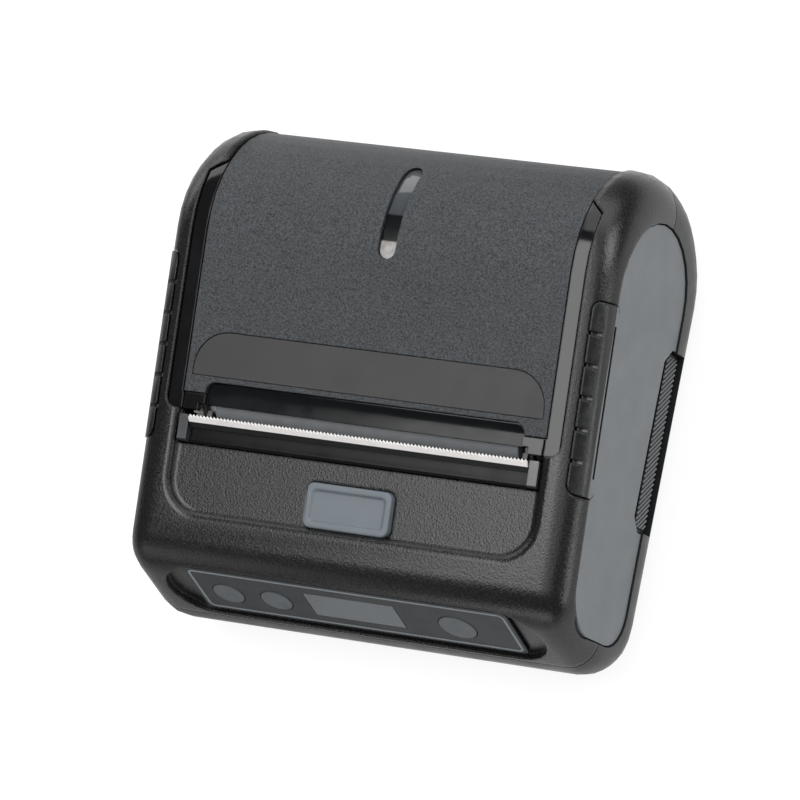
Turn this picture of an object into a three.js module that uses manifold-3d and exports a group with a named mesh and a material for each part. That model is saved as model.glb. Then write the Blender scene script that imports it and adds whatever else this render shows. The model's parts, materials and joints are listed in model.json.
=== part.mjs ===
// Hand-held thermal receipt printer, lying on its back, in millimetres with +Z up.
// Inside the file y is measured from the middle of the control panel to the roll end and z from
// the back face up; the exported group is moved so that its origin is the middle of the base.
import * as THREE from 'three';
import { mergeVertices } from 'three/addons/utils/BufferGeometryUtils.js';
import Module from 'manifold-3d';

const wasm = await Module();
wasm.setup();

const degree = Math.PI / 180;

// Clearances
const fitGap = 0.3;
const seamGap = 0.4;
const cutOverrun = 2;
const pinGap = 0.25;

// Across the printer, from the paper outwards
const paperHalfWidth = 40;
const bayPlay = 0.6;
const platenShort = 2.4;
const headShort = 1.6;
const bushingPlay = 0.5;
const bushingLength = 3;
const gearPlay = 0.4;
const gearThickness = 2.4;
const cheekThickness = 1.2;
const plateLap = 0.5;
const plateThickness = 1.2;
const coverReach = 0.7;
const stripWidth = 3.6;
const armWidth = 6.8;
const bayHalfWidth = paperHalfWidth + bayPlay;
const platenHalfLength = paperHalfWidth - platenShort;
const headHalfLength = platenHalfLength - headShort;
const bushingInnerX = platenHalfLength + bushingPlay;
const bushingOuterX = bushingInnerX + bushingLength;
const plateInnerX = bushingInnerX + plateLap;
const gearInnerX = bushingOuterX + gearPlay;
const cheekInnerX = gearInnerX + gearThickness + fitGap;
const coverHalfWidth = cheekInnerX + coverReach;
const stripOuterX = coverHalfWidth + stripWidth;
const caseWidth = 2 * (stripOuterX + armWidth);

// From the control panel towards the roll end
const frontScrewY = 9;
const boardFrontOffset = 4.4;
const boardWidth = 9.5;
const boardFrameGap = 1.3;
const frameFrontReach = 16.4;
const frameBackReach = 15.8;
const bayFrontGap = 0.6;
const bayWall = 1.2;
const bayOffset = 3;
const rollEndWall = 5.9;
const rollEndRadius = 25;
const boardFrontY = frontScrewY + boardFrontOffset;
const boardBackY = boardFrontY + boardWidth;
const frameFrontY = boardBackY + boardFrameGap;
const platenY = frameFrontY + frameFrontReach;
const frameBackY = platenY + frameBackReach;
const bayRadius = rollEndRadius - rollEndWall;
const bayY = frameBackY + bayFrontGap + bayWall + bayRadius;
const rollEndY = bayY + bayOffset;

// Crown line of the arms, leaning down from the roll end to the front
const topSlope = 6.7 * degree;
const topStartY = rollEndY - rollEndRadius * Math.sin(topSlope);
const topStartZ = rollEndRadius * (1 + Math.cos(topSlope));

function topZ(y) {
  return topStartZ + (y - topStartY) * Math.tan(topSlope);
}

// Case body
const caseWall = 2.2;
const sideWall = 3.4;
const sideRounding = 7;
const endRounding = 9;
const panelTilt = 20.2 * degree;
const panelDrop = 10.34;
const panelMidZ = topZ(0) - panelDrop;
const frontRollRadius = 10;
const footFlatY = 8;
const footFlatPull = 11;
const footPanelPull = 8;

// Control panel, in its own plane: x across, p up the panel, w out of it
const panelDepth = 0.8;
const panelFloorDepth = 0.8;
const panelBacking = 3;
const panelRecessInset = 8.3;
const panelRecessHalfLength = caseWidth / 2 - panelRecessInset;
const panelRecessTop = 9;
const panelRecessBottom = 10;
const panelWindowDepth = 6;
const overlayInset = 6.8;
const overlayHalfLength = panelRecessHalfLength - overlayInset;
const overlayRim = 0.3;
const overlayHalfHeight = panelRecessTop - overlayRim;
const overlayCorner = 1.5;
const overlayThickness = 0.5;
const keyLineP = -0.87;
const feedKeyShare = -0.796;
const settingsKeyShare = -0.4925;
const powerKeyShare = 0.6294;
const smallKeyRadius = 3.74;
const powerKeyRadius = 4.46;
const keyProud = 0.15;
const keyGap = 0.2;
const keyTravel = 0.5;
const keyStopGap = 0.1;
const keyFlange = 0.8;
const keyFlangeThickness = 0.7;
const keyStemRadius = 1.5;
const displayHalfWidth = 11.2;
const displayHalfHeight = 4.7;
const displayMidP = -0.2;
const displayFrame = 0.6;
const keyBoardDepth = 4.6;
const boardThickness = 1.6;
const keyBoardReach = 1.8;
const keyBoardHalfLength = overlayHalfLength + keyBoardReach;
const keyBoardInset = 2.1;
const keyBoardHalfHeight = overlayHalfHeight - keyBoardInset;
const openingMargin = 0.5;
const domeRadius = 2;
const domeHeight = 0.5;
const domeFilm = 0.15;
const domeShoulderShare = 0.75;
const keyBoardPostRadius = 1.9;
const keyBoardPostInset = 2.2;
const boardScrewRadius = 0.7;
const boardScrewHeadRadius = 1.5;
const boardScrewHeadHeight = 0.8;

// Line between front and rear case, just below the panel recess
const splitSlope = 2 * degree;
const splitGap = 0.25;
const splitRim = 0.5;
const splitFrontZ = panelMidZ - panelRecessBottom * Math.cos(panelTilt) - splitRim;

// Tear bar
const platenHolderReach = 4.5;
const holderDepth = 5.9;
const holderBackY = platenY - platenHolderReach;
const holderFrontY = holderBackY - holderDepth;
const holderSink = 1.7;
const holderBaseZ = topZ(holderFrontY) - holderSink;
const holderWallHeight = 0.9;
const holderWallThickness = 0.5;
const holderFloorRise = 0.7;
const ridgeRise = 3.1;
const ridgeFootRise = 1.1;
const bladeOverhang = 2;
const bladeHalfLength = paperHalfWidth + bladeOverhang;
const endPieceInnerX = bladeHalfLength + fitGap;
const endPieceWidth = 2.3;
const holderHalfLength = endPieceInnerX + endPieceWidth;
const endPieceRise = 2.9;
const endPieceFrontRise = 1.7;
const bladeThickness = 0.5;
const bladeWidth = 3.2;
const bladeTilt = 45 * degree;
const toothPitch = 0.86;
const toothDepth = 0.6;

// Pocket below the tear bar, and the open button in it
const mouthHalfWidth = holderHalfLength + seamGap;
const mouthFrontY = holderFrontY - fitGap;
const pocketHalfWidth = mouthHalfWidth + fitGap;
const buttonFrameReach = 4;
const buttonY = frameFrontY - buttonFrameReach;
const buttonHalfLength = 10.6;
const buttonHalfWidth = 5;
const pocketMargin = 0.3;
const pocketFrontY = buttonY - buttonHalfWidth - pocketMargin;
const pocketCorner = 8;
const pocketDepth = 1.2;
const pocketFloor = 1.8;
const buttonCorner = 1.8;
const buttonProud = 0.3;
const buttonDish = 0.6;
const buttonRim = 1.6;
const buttonFlange = 1.1;
const buttonFlangeThickness = 1.2;
const buttonStemRadius = 2.4;
const buttonTravel = 2;

// Platen and its gears
const lidDrop = 0.5;
const coverThickness = 2;
const platenCoverGap = 0.1;
const platenRadius = 5.5;
const platenZ = topZ(platenY) - lidDrop - coverThickness - platenCoverGap - platenRadius;
const shaftRadius = 1.5;
const bushingRadius = 3.2;
const gearModule = 0.5;
const platenTeeth = 16;
const idlerTeeth = 24;
const pinionTeeth = 12;
const toothWidthShare = 0.36;
const gearAddendumShare = 0.9;
const gearDedendumShare = 1.25;
const idlerBearing = -85 * degree;
const motorBearing = -25 * degree;
const gearPostRadius = 1;
const motorRadius = 6;
const motorLength = 16;
const motorShaftRadius = 0.9;

// Lid
const coverFrontReach = 0.8;
const coverFrontY = platenY + coverFrontReach;
const stripFrontReach = 2.8;
const stripFrontY = platenY - stripFrontReach;
const frameThickness = 1.4;
const bandInset = 1.5;
const bandHalfWidth = coverHalfWidth - bandInset;
const bandFrontReach = 3.9;
const bandFrontY = coverFrontY + bandFrontReach;
const bandWidth = 9.8;
const bandBackY = bandFrontY + bandWidth;
const bandCorner = 8;
const bandThickness = 0.5;
const bandSink = 0.1;
const bandGap = 0.15;
const lipFrontReach = 1.6;
const lipFrontY = platenY - lipFrontReach;
const lipDrop = 1.2;
const lipHollowRadius = 10.6;
const scoopLength = 2.6;
const scoopBackY = coverFrontY + scoopLength;
const scoopInset = 1.3;
const scoopCorner = 2.4;
const endBlockLap = 0.2;
const endBlockInnerX = bushingOuterX - endBlockLap;
const endBlockOuterX = cheekInnerX + fitGap;
const endBlockFrontY = stripFrontY - fitGap;
const endGrooveWidth = 0.5;
const endGrooveDepth = 0.8;
const stripCorner = 2.2;
const endBlockThickness = 1.3;
const cheekHalfWidth = 2.9;
const hingeInset = 4.1;
const hingeY = rollEndY + rollEndRadius - hingeInset;
const notchHingeReach = 7.1;
const notchLength = 3;
const notchEndY = hingeY - notchHingeReach;
const notchStartY = notchEndY - notchLength;
const hingeDrop = 4;
const hingeZ = rollEndRadius - hingeDrop;
const barrelRadius = 3.2;
const barrelGap = 0.5;
const barrelHalfLength = coverHalfWidth - barrelGap;
const hingePinRadius = 1;
const earInnerX = coverHalfWidth + seamGap;
const earThickness = 3.2;
const earHalfWidth = 3.4;
const lidEndDrop = 4.4;
const windowHalfWidth = 2.05;
const windowHingeGap = 3.7;
const windowLength = 22;
const windowBackY = hingeY - windowHingeGap;
const windowFrontY = windowBackY - windowLength;
const windowSink = 0.9;
const windowThickness = 1.1;

// Arms beside the lid
const armWall = 1.6;
const armWallReach = 5;
const armWallFrontY = platenY - armWallReach;

// Mechanism frame, print head and latch, set out from the platen's axis
const frameSheet = 1.2;
const frameBaseDrop = 18.5;
const frameBaseZ = platenZ - frameBaseDrop;
const frameBaseReach = 0.6;
const frameBaseBackY = platenY - frameBaseReach;
const frameNotchGap = 0.35;
const guideDrop = 7.3;
const guideZ = platenZ - guideDrop;
const guideThickness = 0.8;
const guideFrontReach = 3;
const guideFrontY = platenY - guideFrontReach;
const springTongueHalfWidth = 5;
const headContactGap = 0.3;
const ceramicThickness = 1;
const ceramicHeight = 8.5;
const headHolderGap = 0.6;
const ceramicTopZ = holderBaseZ - headHolderGap;
const frameTopRise = 0.2;
const frameTopZ = ceramicTopZ + frameTopRise;
const heatSinkThickness = 2.7;
const headTopDrop = 0.4;
const headTopZ = ceramicTopZ - headTopDrop;
const headPivotRise = 6.1;
const headPivotZ = frameBaseZ + headPivotRise;
const headPivotRadius = 1;
const headFootRadius = 2.2;
const headSpringX = 22;
const headSpringDrop = 4.2;
const headSpringZ = platenZ - headSpringDrop;
const springWire = 0.9;
const headSpringRadius = 2.4;
const headBackerDrop = 1.4;
const headBackerTopZ = platenZ - headBackerDrop;
const latchPivotReach = 4.4;
const latchPivotY = platenY - latchPivotReach;
const latchPivotDrop = 10.8;
const latchPivotZ = platenZ - latchPivotDrop;
const latchThickness = 0.9;
const latchArmWidth = 4;
const latchBossRadius = 1.3;
const hookGap = 0.3;
const hookWidth = 1.6;
const hookTop = 105 * degree;
const hookFoot = 200 * degree;
const latchBarDrop = 1.4;
const latchBarThickness = 1.4;
const latchBarWidth = 4.4;
const buttonSpringRadius = 2.8;

// Paper bay
const bayFrontRise = 7.2;
const bayBackRise = 10.2;

// Main board, below the mechanism frame, and battery below that
const boardGap = 0.7;
const boardTopZ = frameBaseZ - boardGap;
const boardZ = boardTopZ - boardThickness;
const compartmentWall = 1.5;
const batteryGap = 0.4;
const batterySink = 0.3;
const batteryTopZ = boardZ - boardGap - compartmentWall - batteryGap;
const batteryFrontReach = 4;
const batteryFrontY = frontScrewY + batteryFrontReach;
const batteryBackGap = 1.4;
const batteryBackY = bayY - bayRadius - bayWall - batteryBackGap;
const batteryHalfWidth = 31;
const batteryCorner = 3;
const fingerNotchWidth = 14;
const fingerNotchDepth = 4;
const fingerNotchHeight = 3;
const contactWidth = 1.2;
const contactPitch = 4;
const contactHeight = 5;
const contactBody = 2;

// Side panels
const panelSink = 0.4;
const panelFaceX = caseWidth / 2 - panelSink;
const panelThickness = 1.2;
const panelGap = 0.35;
const panelRollReach = 3.3;
const panelRollY = rollEndY - panelRollReach;
const panelRollRise = 1.9;
const panelRollZ = rollEndRadius + panelRollRise;
const panelRollWall = 8.2;
const panelRollRadius = rollEndRadius - panelRollWall;
const panelFrontTopY = 13.5;
const panelFrontTopDrop = 17;
const panelFrontTopZ = topZ(panelFrontTopY) - panelFrontTopDrop;
const panelFrontTopRadius = 11.6;
const panelFrontFootY = 9.8;
const panelFrontFootZ = 17.2;
const panelFrontFootRadius = 7.9;

// Sockets on the main board, and its chips
const socketSink = 0.6;
const socketFaceX = panelFaceX - socketSink;
const usbBoardReach = 4.8;
const usbY = boardFrontY + usbBoardReach;
const usbWidth = 9;
const usbHeight = 3.2;
const usbDepth = 7.5;
const usbWall = 0.3;
const usbTongue = 0.7;
const jackReach = 6.1;
const jackY = boardBackY + jackReach;
const jackWidth = 9;
const jackHeight = 10;
const jackDepth = 11;
const jackBoreRadius = 3.2;
const jackBoreDepth = 8.5;
const boardRightInset = 13.3;
const boardRightX = caseWidth / 2 - boardRightInset;
const boardTabX = -(socketFaceX - jackDepth - fitGap);
const boardTabReach = 5.5;
const boardTabBackY = jackY + boardTabReach;
const boardLeftInset = 4.8;
const boardLeftX = -(socketFaceX - boardLeftInset);
const chipRise = 1.4;
const processorShare = 0.7;
const processorSizeShare = 0.08;
const driverShare = 0.3;
const driverSizeShare = 0.06;
const sensorX = 6;
const sensorLength = 6;
const sensorReach = 3.4;
const sensorY = platenY + sensorReach;
const sensorWidth = 5;
const sensorDepth = 2;

// Grips
const rearStripFrontY = 28.4;
const rearStripReach = 8;
const rearStripBackY = panelRollY - rearStripReach;
const rearStripBottomShare = 0.234;
const rearStripBottomZ = rearStripBottomShare * splitFrontZ;
const rearStripTopShare = 0.702;
const rearStripTopZ = rearStripTopShare * splitFrontZ;
const rearStripChamfer = 3;
const rearStripDepth = 2.4;
const rearStripThickness = 1.1;
const rearRibCount = 36;
const rearRibDepth = 0.7;
const rearRibLean = 3.2;
const rearStripEdge = 0.9;
const gripFrontReach = 10.2;
const gripFrontY = platenY - gripFrontReach;
const gripBackReach = 5.1;
const gripBackY = panelRollY - gripBackReach;
const gripWallGap = 0.9;
const gripInnerX = stripOuterX + seamGap + armWall + gripWallGap;
const gripCorner = 2;
const gripSegments = 6;
const gripProud = 0.35;
const gripDepth = 1.6;
const gripGrooveWidth = 0.9;
const gripGrooveDepth = 0.9;
const gripFlangeDrop = 1.3;
const gripFlangeSink = 0.25;
const gripSlitWidth = 0.5;
const gripSlitDepth = 0.7;
const gripSlitInset = 4.2;

// Case screws and frame screws
const screwPostInset = 8.1;
const screwPostX = caseWidth / 2 - screwPostInset;
const rearScrewReach = 9.7;
const rearScrewY = hingeY - rearScrewReach;
const screwPostRadius = 3.3;
const screwRadius = 1.3;
const screwHeadRadius = 2.5;
const screwHeadHeight = 1.8;
const screwHeadZ = 7;
const screwTopRise = 8;
const screwBossRise = 11;
const screwBossTopZ = rollEndRadius + screwBossRise;
const frameScrewInset = 4.6;
const frameScrewX = plateInnerX - frameScrewInset;
const frameScrewReach = 9.6;
const frameScrewY = platenY - frameScrewReach;
const frameScrewBossRadius = 2.4;
const frameScrewHeadRadius = 2;
const frameScrewHeadHeight = 1.2;

// Numbers of facets
const roundSides = 20;
const smallSides = 10;
const roundingSteps = 5;
const rollEndSteps = 18;
const frontRollSteps = 5;
const footSteps = 7;

// Materials, with the colours of the photograph
function finish(colour, roughness, metalness = 0) {
  return new THREE.MeshStandardMaterial({ color: colour, roughness, metalness });
}
const grainedBlack = finish(0x2e3032, 0.55);
const coverBlack = finish(0x36393b, 0.7);
const glossBlack = finish(0x141516, 0.15);
const satinBlack = finish(0x232527, 0.45);
const satinGrey = finish(0x6a6e71, 0.5);
const gripRubber = finish(0x252728, 0.75);
const bandGrey = finish(0x3b393b, 0.55);
const keyGrey = finish(0x5a6064, 0.5);
const buttonGrey = finish(0x66717a, 0.45);
const windowGrey = finish(0x565d62, 0.25);
const platenGrey = finish(0x5c6063, 0.8);
const brightSteel = finish(0xd9d8d6, 0.25, 1);
const sheetSteel = finish(0x9a9c9e, 0.4, 1);
const aluminium = finish(0xb4b6b8, 0.45, 1);
const ceramicWhite = finish(0xd8d4c8, 0.3);
const whitePlastic = finish(0xd7d6d0, 0.5);
const boardGreen = finish(0x1f5a3a, 0.45);
const chipBlack = finish(0x1a1b1c, 0.5);
const brass = finish(0xc0a050, 0.35, 1);

// Turning shapes into solids and back

function solid(geometry, place) {
  const bare = geometry.clone();
  bare.deleteAttribute('normal');
  bare.deleteAttribute('uv');
  if (place) bare.applyMatrix4(place);
  const merged = mergeVertices(bare);
  return new wasm.Manifold(new wasm.Mesh({
    numProp: 3,
    vertProperties: Float32Array.from(merged.attributes.position.array),
    triVerts: Uint32Array.from(merged.index.array),
  }));
}

function join(first, ...others) {
  return others.reduce((sum, other) => sum.add(other), first);
}

function cut(first, ...tools) {
  return tools.reduce((rest, tool) => rest.subtract(tool), first);
}

function common(first, ...others) {
  return others.reduce((shared, other) => shared.intersect(other), first);
}

function meshOf(name, body, material, place) {
  const data = body.getMesh();
  const geometry = new THREE.BufferGeometry();
  geometry.setAttribute('position', new THREE.BufferAttribute(data.vertProperties, 3));
  geometry.setIndex(new THREE.BufferAttribute(data.triVerts, 1));
  geometry.computeVertexNormals();
  const mesh = new THREE.Mesh(geometry, material);
  mesh.name = name;
  if (place) mesh.applyMatrix4(place);
  return mesh;
}

// Simple shapes

function block(x0, x1, y0, y1, z0, z1, place) {
  const geometry = new THREE.BoxGeometry(x1 - x0, y1 - y0, z1 - z0);
  geometry.translate((x0 + x1) / 2, (y0 + y1) / 2, (z0 + z1) / 2);
  return solid(geometry, place);
}

function rodAlongX(y, z, radius, x0, x1, sides = roundSides) {
  const geometry = new THREE.CylinderGeometry(radius, radius, x1 - x0, sides);
  geometry.rotateZ(Math.PI / 2);
  geometry.translate((x0 + x1) / 2, y, z);
  return solid(geometry);
}

function rodAlongY(x, z, radius, y0, y1, sides = roundSides) {
  const geometry = new THREE.CylinderGeometry(radius, radius, y1 - y0, sides);
  geometry.translate(x, (y0 + y1) / 2, z);
  return solid(geometry);
}

function rodAlongZ(x, y, radius, z0, z1, sides = roundSides, place) {
  const geometry = new THREE.CylinderGeometry(radius, radius, z1 - z0, sides);
  geometry.rotateX(Math.PI / 2);
  geometry.translate(x, y, (z0 + z1) / 2);
  return solid(geometry, place);
}

// An outline in x and y, raised along z
function plate(points, z0, z1, place) {
  const shape = new THREE.Shape(points);
  const geometry = new THREE.ExtrudeGeometry(shape, { depth: z1 - z0, bevelEnabled: false });
  geometry.translate(0, 0, z0);
  return solid(geometry, place);
}

// An outline in y and z, raised along x
const alongX = new THREE.Matrix4().makeBasis(
  new THREE.Vector3(0, 1, 0),
  new THREE.Vector3(0, 0, 1),
  new THREE.Vector3(1, 0, 0),
);

function profile(points, x0, x1) {
  return plate(points, x0, x1, alongX);
}

function point(x, y) {
  return new THREE.Vector2(x, y);
}

function onCircle(radius, angle) {
  return point(radius * Math.cos(angle), radius * Math.sin(angle));
}

function arc(x, y, radius, from, to, steps) {
  const points = [];
  for (let step = 0; step <= steps; step += 1) {
    const angle = from + (to - from) * step / steps;
    points.push(point(x + radius * Math.cos(angle), y + radius * Math.sin(angle)));
  }
  return points;
}

// A rectangle whose four corners have their own radii, starting at low x and low y
function roundedRectangle(x0, x1, y0, y1, radii) {
  const [lowLow, highLow, highHigh, lowHigh] = radii;
  const steps = 6;
  return [
    ...arc(x0 + lowLow, y0 + lowLow, lowLow, Math.PI, 1.5 * Math.PI, steps),
    ...arc(x1 - highLow, y0 + highLow, highLow, 1.5 * Math.PI, 2 * Math.PI, steps),
    ...arc(x1 - highHigh, y1 - highHigh, highHigh, 0, 0.5 * Math.PI, steps),
    ...arc(x0 + lowHigh, y1 - lowHigh, lowHigh, 0.5 * Math.PI, Math.PI, steps),
  ];
}

function mirrored(body) {
  return body.mirror([1, 0, 0]);
}

// Case body: one outline seen from the side, rounded over towards both sides

const topNormal = point(-Math.sin(topSlope), Math.cos(topSlope));
const topStart = point(topStartY, topStartZ);
const panelNormal = point(-Math.cos(panelTilt), Math.sin(panelTilt));
const panelUp = point(Math.sin(panelTilt), Math.cos(panelTilt));
const panelSurface = point(0, panelMidZ).addScaledVector(panelNormal, panelDepth);

function caseOutline() {
  const across = panelUp.x - panelUp.y / Math.tan(topSlope);
  const rise = (panelSurface.x - topStart.x) - (panelSurface.y - topStart.y) / Math.tan(topSlope);
  const corner = panelSurface.clone().addScaledVector(panelUp, -rise / across);
  const turn = Math.PI / 2 - topSlope - panelTilt;
  const setBack = frontRollRadius * Math.tan(turn / 2);
  const rollStart = corner.clone().add(point(Math.cos(topSlope), Math.sin(topSlope)).multiplyScalar(setBack));
  const rollCentre = rollStart.clone().addScaledVector(topNormal, -frontRollRadius);
  const footTop = panelSurface.clone().addScaledVector(panelUp, -panelRecessBottom);
  const foot = new THREE.CubicBezierCurve(
    footTop,
    footTop.clone().addScaledVector(panelUp, -footPanelPull),
    point(footFlatY - footFlatPull, 0),
    point(footFlatY, 0),
  );
  return [
    ...arc(rollEndY, rollEndRadius, rollEndRadius, -Math.PI / 2, Math.PI / 2 + topSlope, rollEndSteps),
    ...arc(rollCentre.x, rollCentre.y, frontRollRadius,
      Math.PI / 2 + topSlope, Math.PI - panelTilt, frontRollSteps),
    ...foot.getPoints(footSteps),
  ];
}

function outwardNormals(points) {
  return points.map((here, index) => {
    const before = points[(index + points.length - 1) % points.length];
    const after = points[(index + 1) % points.length];
    const into = here.clone().sub(before).normalize();
    const out = after.clone().sub(here).normalize();
    const normal = point(into.y + out.y, -into.x - out.x).normalize();
    return normal.divideScalar(normal.dot(point(into.y, -into.x)));
  });
}

// Rounding grows from the long sides towards the roll end
function roundingAt(y) {
  const towardsRoll = THREE.MathUtils.smoothstep((y - rollEndY) / rollEndRadius, 0, 1);
  return sideRounding + (endRounding - sideRounding) * towardsRoll;
}

const outline = caseOutline();
const outlineNormals = outwardNormals(outline);

// The case body grown or shrunk by the same distance on all its faces
function caseBody(grow) {
  const rings = [];
  const halfWidth = caseWidth / 2;
  const addRing = (angle, side) => {
    rings.push(outline.map((here, index) => {
      const radius = roundingAt(here.x);
      const offset = (radius + grow) * Math.sin(angle) - radius;
      const spot = here.clone().addScaledVector(outlineNormals[index], offset);
      const x = side * (halfWidth - radius + (radius + grow) * Math.cos(angle));
      return new THREE.Vector3(x, spot.x, spot.y);
    }));
  };
  for (let step = 0; step <= roundingSteps; step += 1) addRing(step / roundingSteps * Math.PI / 2, 1);
  for (let step = roundingSteps; step >= 0; step -= 1) addRing(step / roundingSteps * Math.PI / 2, -1);
  const count = outline.length;
  const index = [];
  for (let ring = 0; ring < rings.length - 1; ring += 1) {
    for (let here = 0; here < count; here += 1) {
      const next = (here + 1) % count;
      const a = ring * count + here;
      const b = ring * count + next;
      const c = (ring + 1) * count + next;
      const d = (ring + 1) * count + here;
      index.push(a, d, b, b, d, c);
    }
  }
  const cap = rings[0].map((corner) => point(corner.y, corner.z));
  const last = (rings.length - 1) * count;
  for (const [a, b, c] of THREE.ShapeUtils.triangulateShape(cap, [])) {
    index.push(a, b, c, last + a, last + c, last + b);
  }
  const geometry = new THREE.BufferGeometry();
  const values = rings.flat().flatMap((corner) => corner.toArray());
  geometry.setAttribute('position', new THREE.Float32BufferAttribute(values, 3));
  geometry.setIndex(index);
  return solid(geometry);
}

// A layer of the case body between two depths below its surface
function layer(outerDepth, innerDepth) {
  return cut(caseBody(-outerDepth), caseBody(-innerDepth));
}

const bodyOuter = caseBody(0);
const bodyInner = caseBody(-caseWall);
const roomHeight = 2 * rollEndRadius + cutOverrun;
const roomEndY = rollEndY + rollEndRadius + cutOverrun;
const roomHalfWidth = caseWidth / 2 + cutOverrun;

// The part of space above or below the line between front and rear case
function splitSpace(above, shift) {
  const bottom = above ? 0 : -roomHeight;
  const top = above ? roomHeight : 0;
  const corners = [
    point(-roomHeight, bottom), point(2 * roomEndY, bottom),
    point(2 * roomEndY, top), point(-roomHeight, top),
  ].map((corner) => corner.rotateAround(point(0, 0), splitSlope));
  return profile(corners.map((corner) => point(corner.x, corner.y + splitFrontZ + shift)),
    -roomHalfWidth, roomHalfWidth);
}

function splitZ(y) {
  return splitFrontZ + y * Math.tan(splitSlope);
}

// Places on the sloping faces
const panelPlace = new THREE.Matrix4().makeBasis(
  new THREE.Vector3(1, 0, 0),
  new THREE.Vector3(0, panelUp.x, panelUp.y),
  new THREE.Vector3(0, panelNormal.x, panelNormal.y),
).setPosition(0, 0, panelMidZ);
const buttonPlace = new THREE.Matrix4().makeBasis(
  new THREE.Vector3(1, 0, 0),
  new THREE.Vector3(0, Math.cos(topSlope), Math.sin(topSlope)),
  new THREE.Vector3(0, topNormal.x, topNormal.y),
).setPosition(0, buttonY, topZ(buttonY));

// Lid regions seen from above, grown by a gap

function lidRegion(gap) {
  const side = stripOuterX + gap;
  const waist = coverHalfWidth + gap;
  const corner = stripCorner + gap;
  const cornerY = stripFrontY - gap + corner;
  return [
    ...arc(-side + corner, cornerY, corner, Math.PI, 1.5 * Math.PI, smallSides / 2),
    ...arc(side - corner, cornerY, corner, 1.5 * Math.PI, 2 * Math.PI, smallSides / 2),
    point(side, notchStartY + gap / 2), point(waist, notchEndY + gap / 2),
    point(waist, roomEndY), point(-waist, roomEndY),
    point(-waist, notchEndY + gap / 2), point(-side, notchStartY + gap / 2),
  ];
}

const lidEndZ = hingeZ - lidEndDrop;
const coverEndZ = hingeZ + barrelRadius + fitGap;

function bandRegion(gap) {
  return roundedRectangle(-bandHalfWidth - gap, bandHalfWidth + gap, bandFrontY - gap, bandBackY + gap,
    [gap + bandGap, gap + bandGap, bandCorner, bandCorner]);
}

function windowRegion(gap) {
  const radius = windowHalfWidth + gap;
  return roundedRectangle(-radius, radius, windowFrontY - gap, windowBackY + gap,
    [radius, radius, radius, radius]);
}

function barrelRoom(gap) {
  return rodAlongX(hingeY, hingeZ, barrelRadius + gap, -barrelHalfLength - gap, barrelHalfLength + gap);
}

// Side panel seen from the side: a round roll end, a leaning top edge and a round front end
function sidePanelOutline(gap) {
  return [
    ...arc(panelRollY, panelRollZ, panelRollRadius + gap, -Math.PI / 2, Math.PI / 2 + topSlope, 14),
    ...arc(panelFrontTopY, panelFrontTopZ, panelFrontTopRadius + gap,
      Math.PI / 2 + topSlope, Math.PI - panelTilt / 2, 8),
    ...arc(panelFrontFootY, panelFrontFootZ, panelFrontFootRadius + gap, Math.PI, 1.5 * Math.PI, 6),
  ];
}

// Height of the side panel's top edge
function panelEdgeZ(y) {
  const touch = panelRollZ + panelRollRadius * Math.cos(topSlope);
  return touch + (y - panelRollY + panelRollRadius * Math.sin(topSlope)) * panelEdgeSlope;
}
const panelEdgeRise = panelRollZ + panelRollRadius * Math.cos(topSlope)
  - panelFrontTopZ - panelFrontTopRadius * Math.cos(topSlope);
const panelEdgeRun = panelRollY - panelRollRadius * Math.sin(topSlope)
  - panelFrontTopY + panelFrontTopRadius * Math.sin(topSlope);
const panelEdgeSlope = panelEdgeRise / panelEdgeRun;

function rearStripOutline(gap) {
  const inset = rearStripChamfer - gap * Math.tan(Math.PI / 8);
  return [
    point(rearStripFrontY - gap, rearStripBottomZ - gap),
    point(rearStripBackY + gap, rearStripBottomZ - gap),
    point(rearStripBackY + gap, rearStripTopZ - inset),
    point(rearStripBackY - inset, rearStripTopZ + gap),
    point(rearStripFrontY + inset, rearStripTopZ + gap),
    point(rearStripFrontY - gap, rearStripTopZ - inset),
  ];
}

// Front grip seen from the side, reaching from the arm's crown to just past the panel's top edge
function gripOutline(gap) {
  const front = gripFrontY - gap;
  const back = gripBackY + gap;
  const drop = gripFlangeDrop + gap;
  return [
    point(front, panelEdgeZ(front) - gap),
    point(front + gripFlangeDrop, panelEdgeZ(front) - drop),
    point(back - gripFlangeDrop, panelEdgeZ(back) - drop),
    point(back, panelEdgeZ(back) - gap),
    point(back, roomHeight),
    point(front, roomHeight),
  ];
}

function gripRoom(gap) {
  const corner = gripCorner + gap;
  const above = roundedRectangle(gripInnerX - gap, roomHalfWidth, gripFrontY - gap, gripBackY + gap,
    [corner, seamGap, seamGap, corner]);
  return common(profile(gripOutline(gap), gripInnerX - gap, roomHalfWidth), plate(above, 0, roomHeight));
}

// Front grip: six rounded segments over the arm and a smooth flange with a slit on the side

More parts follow.
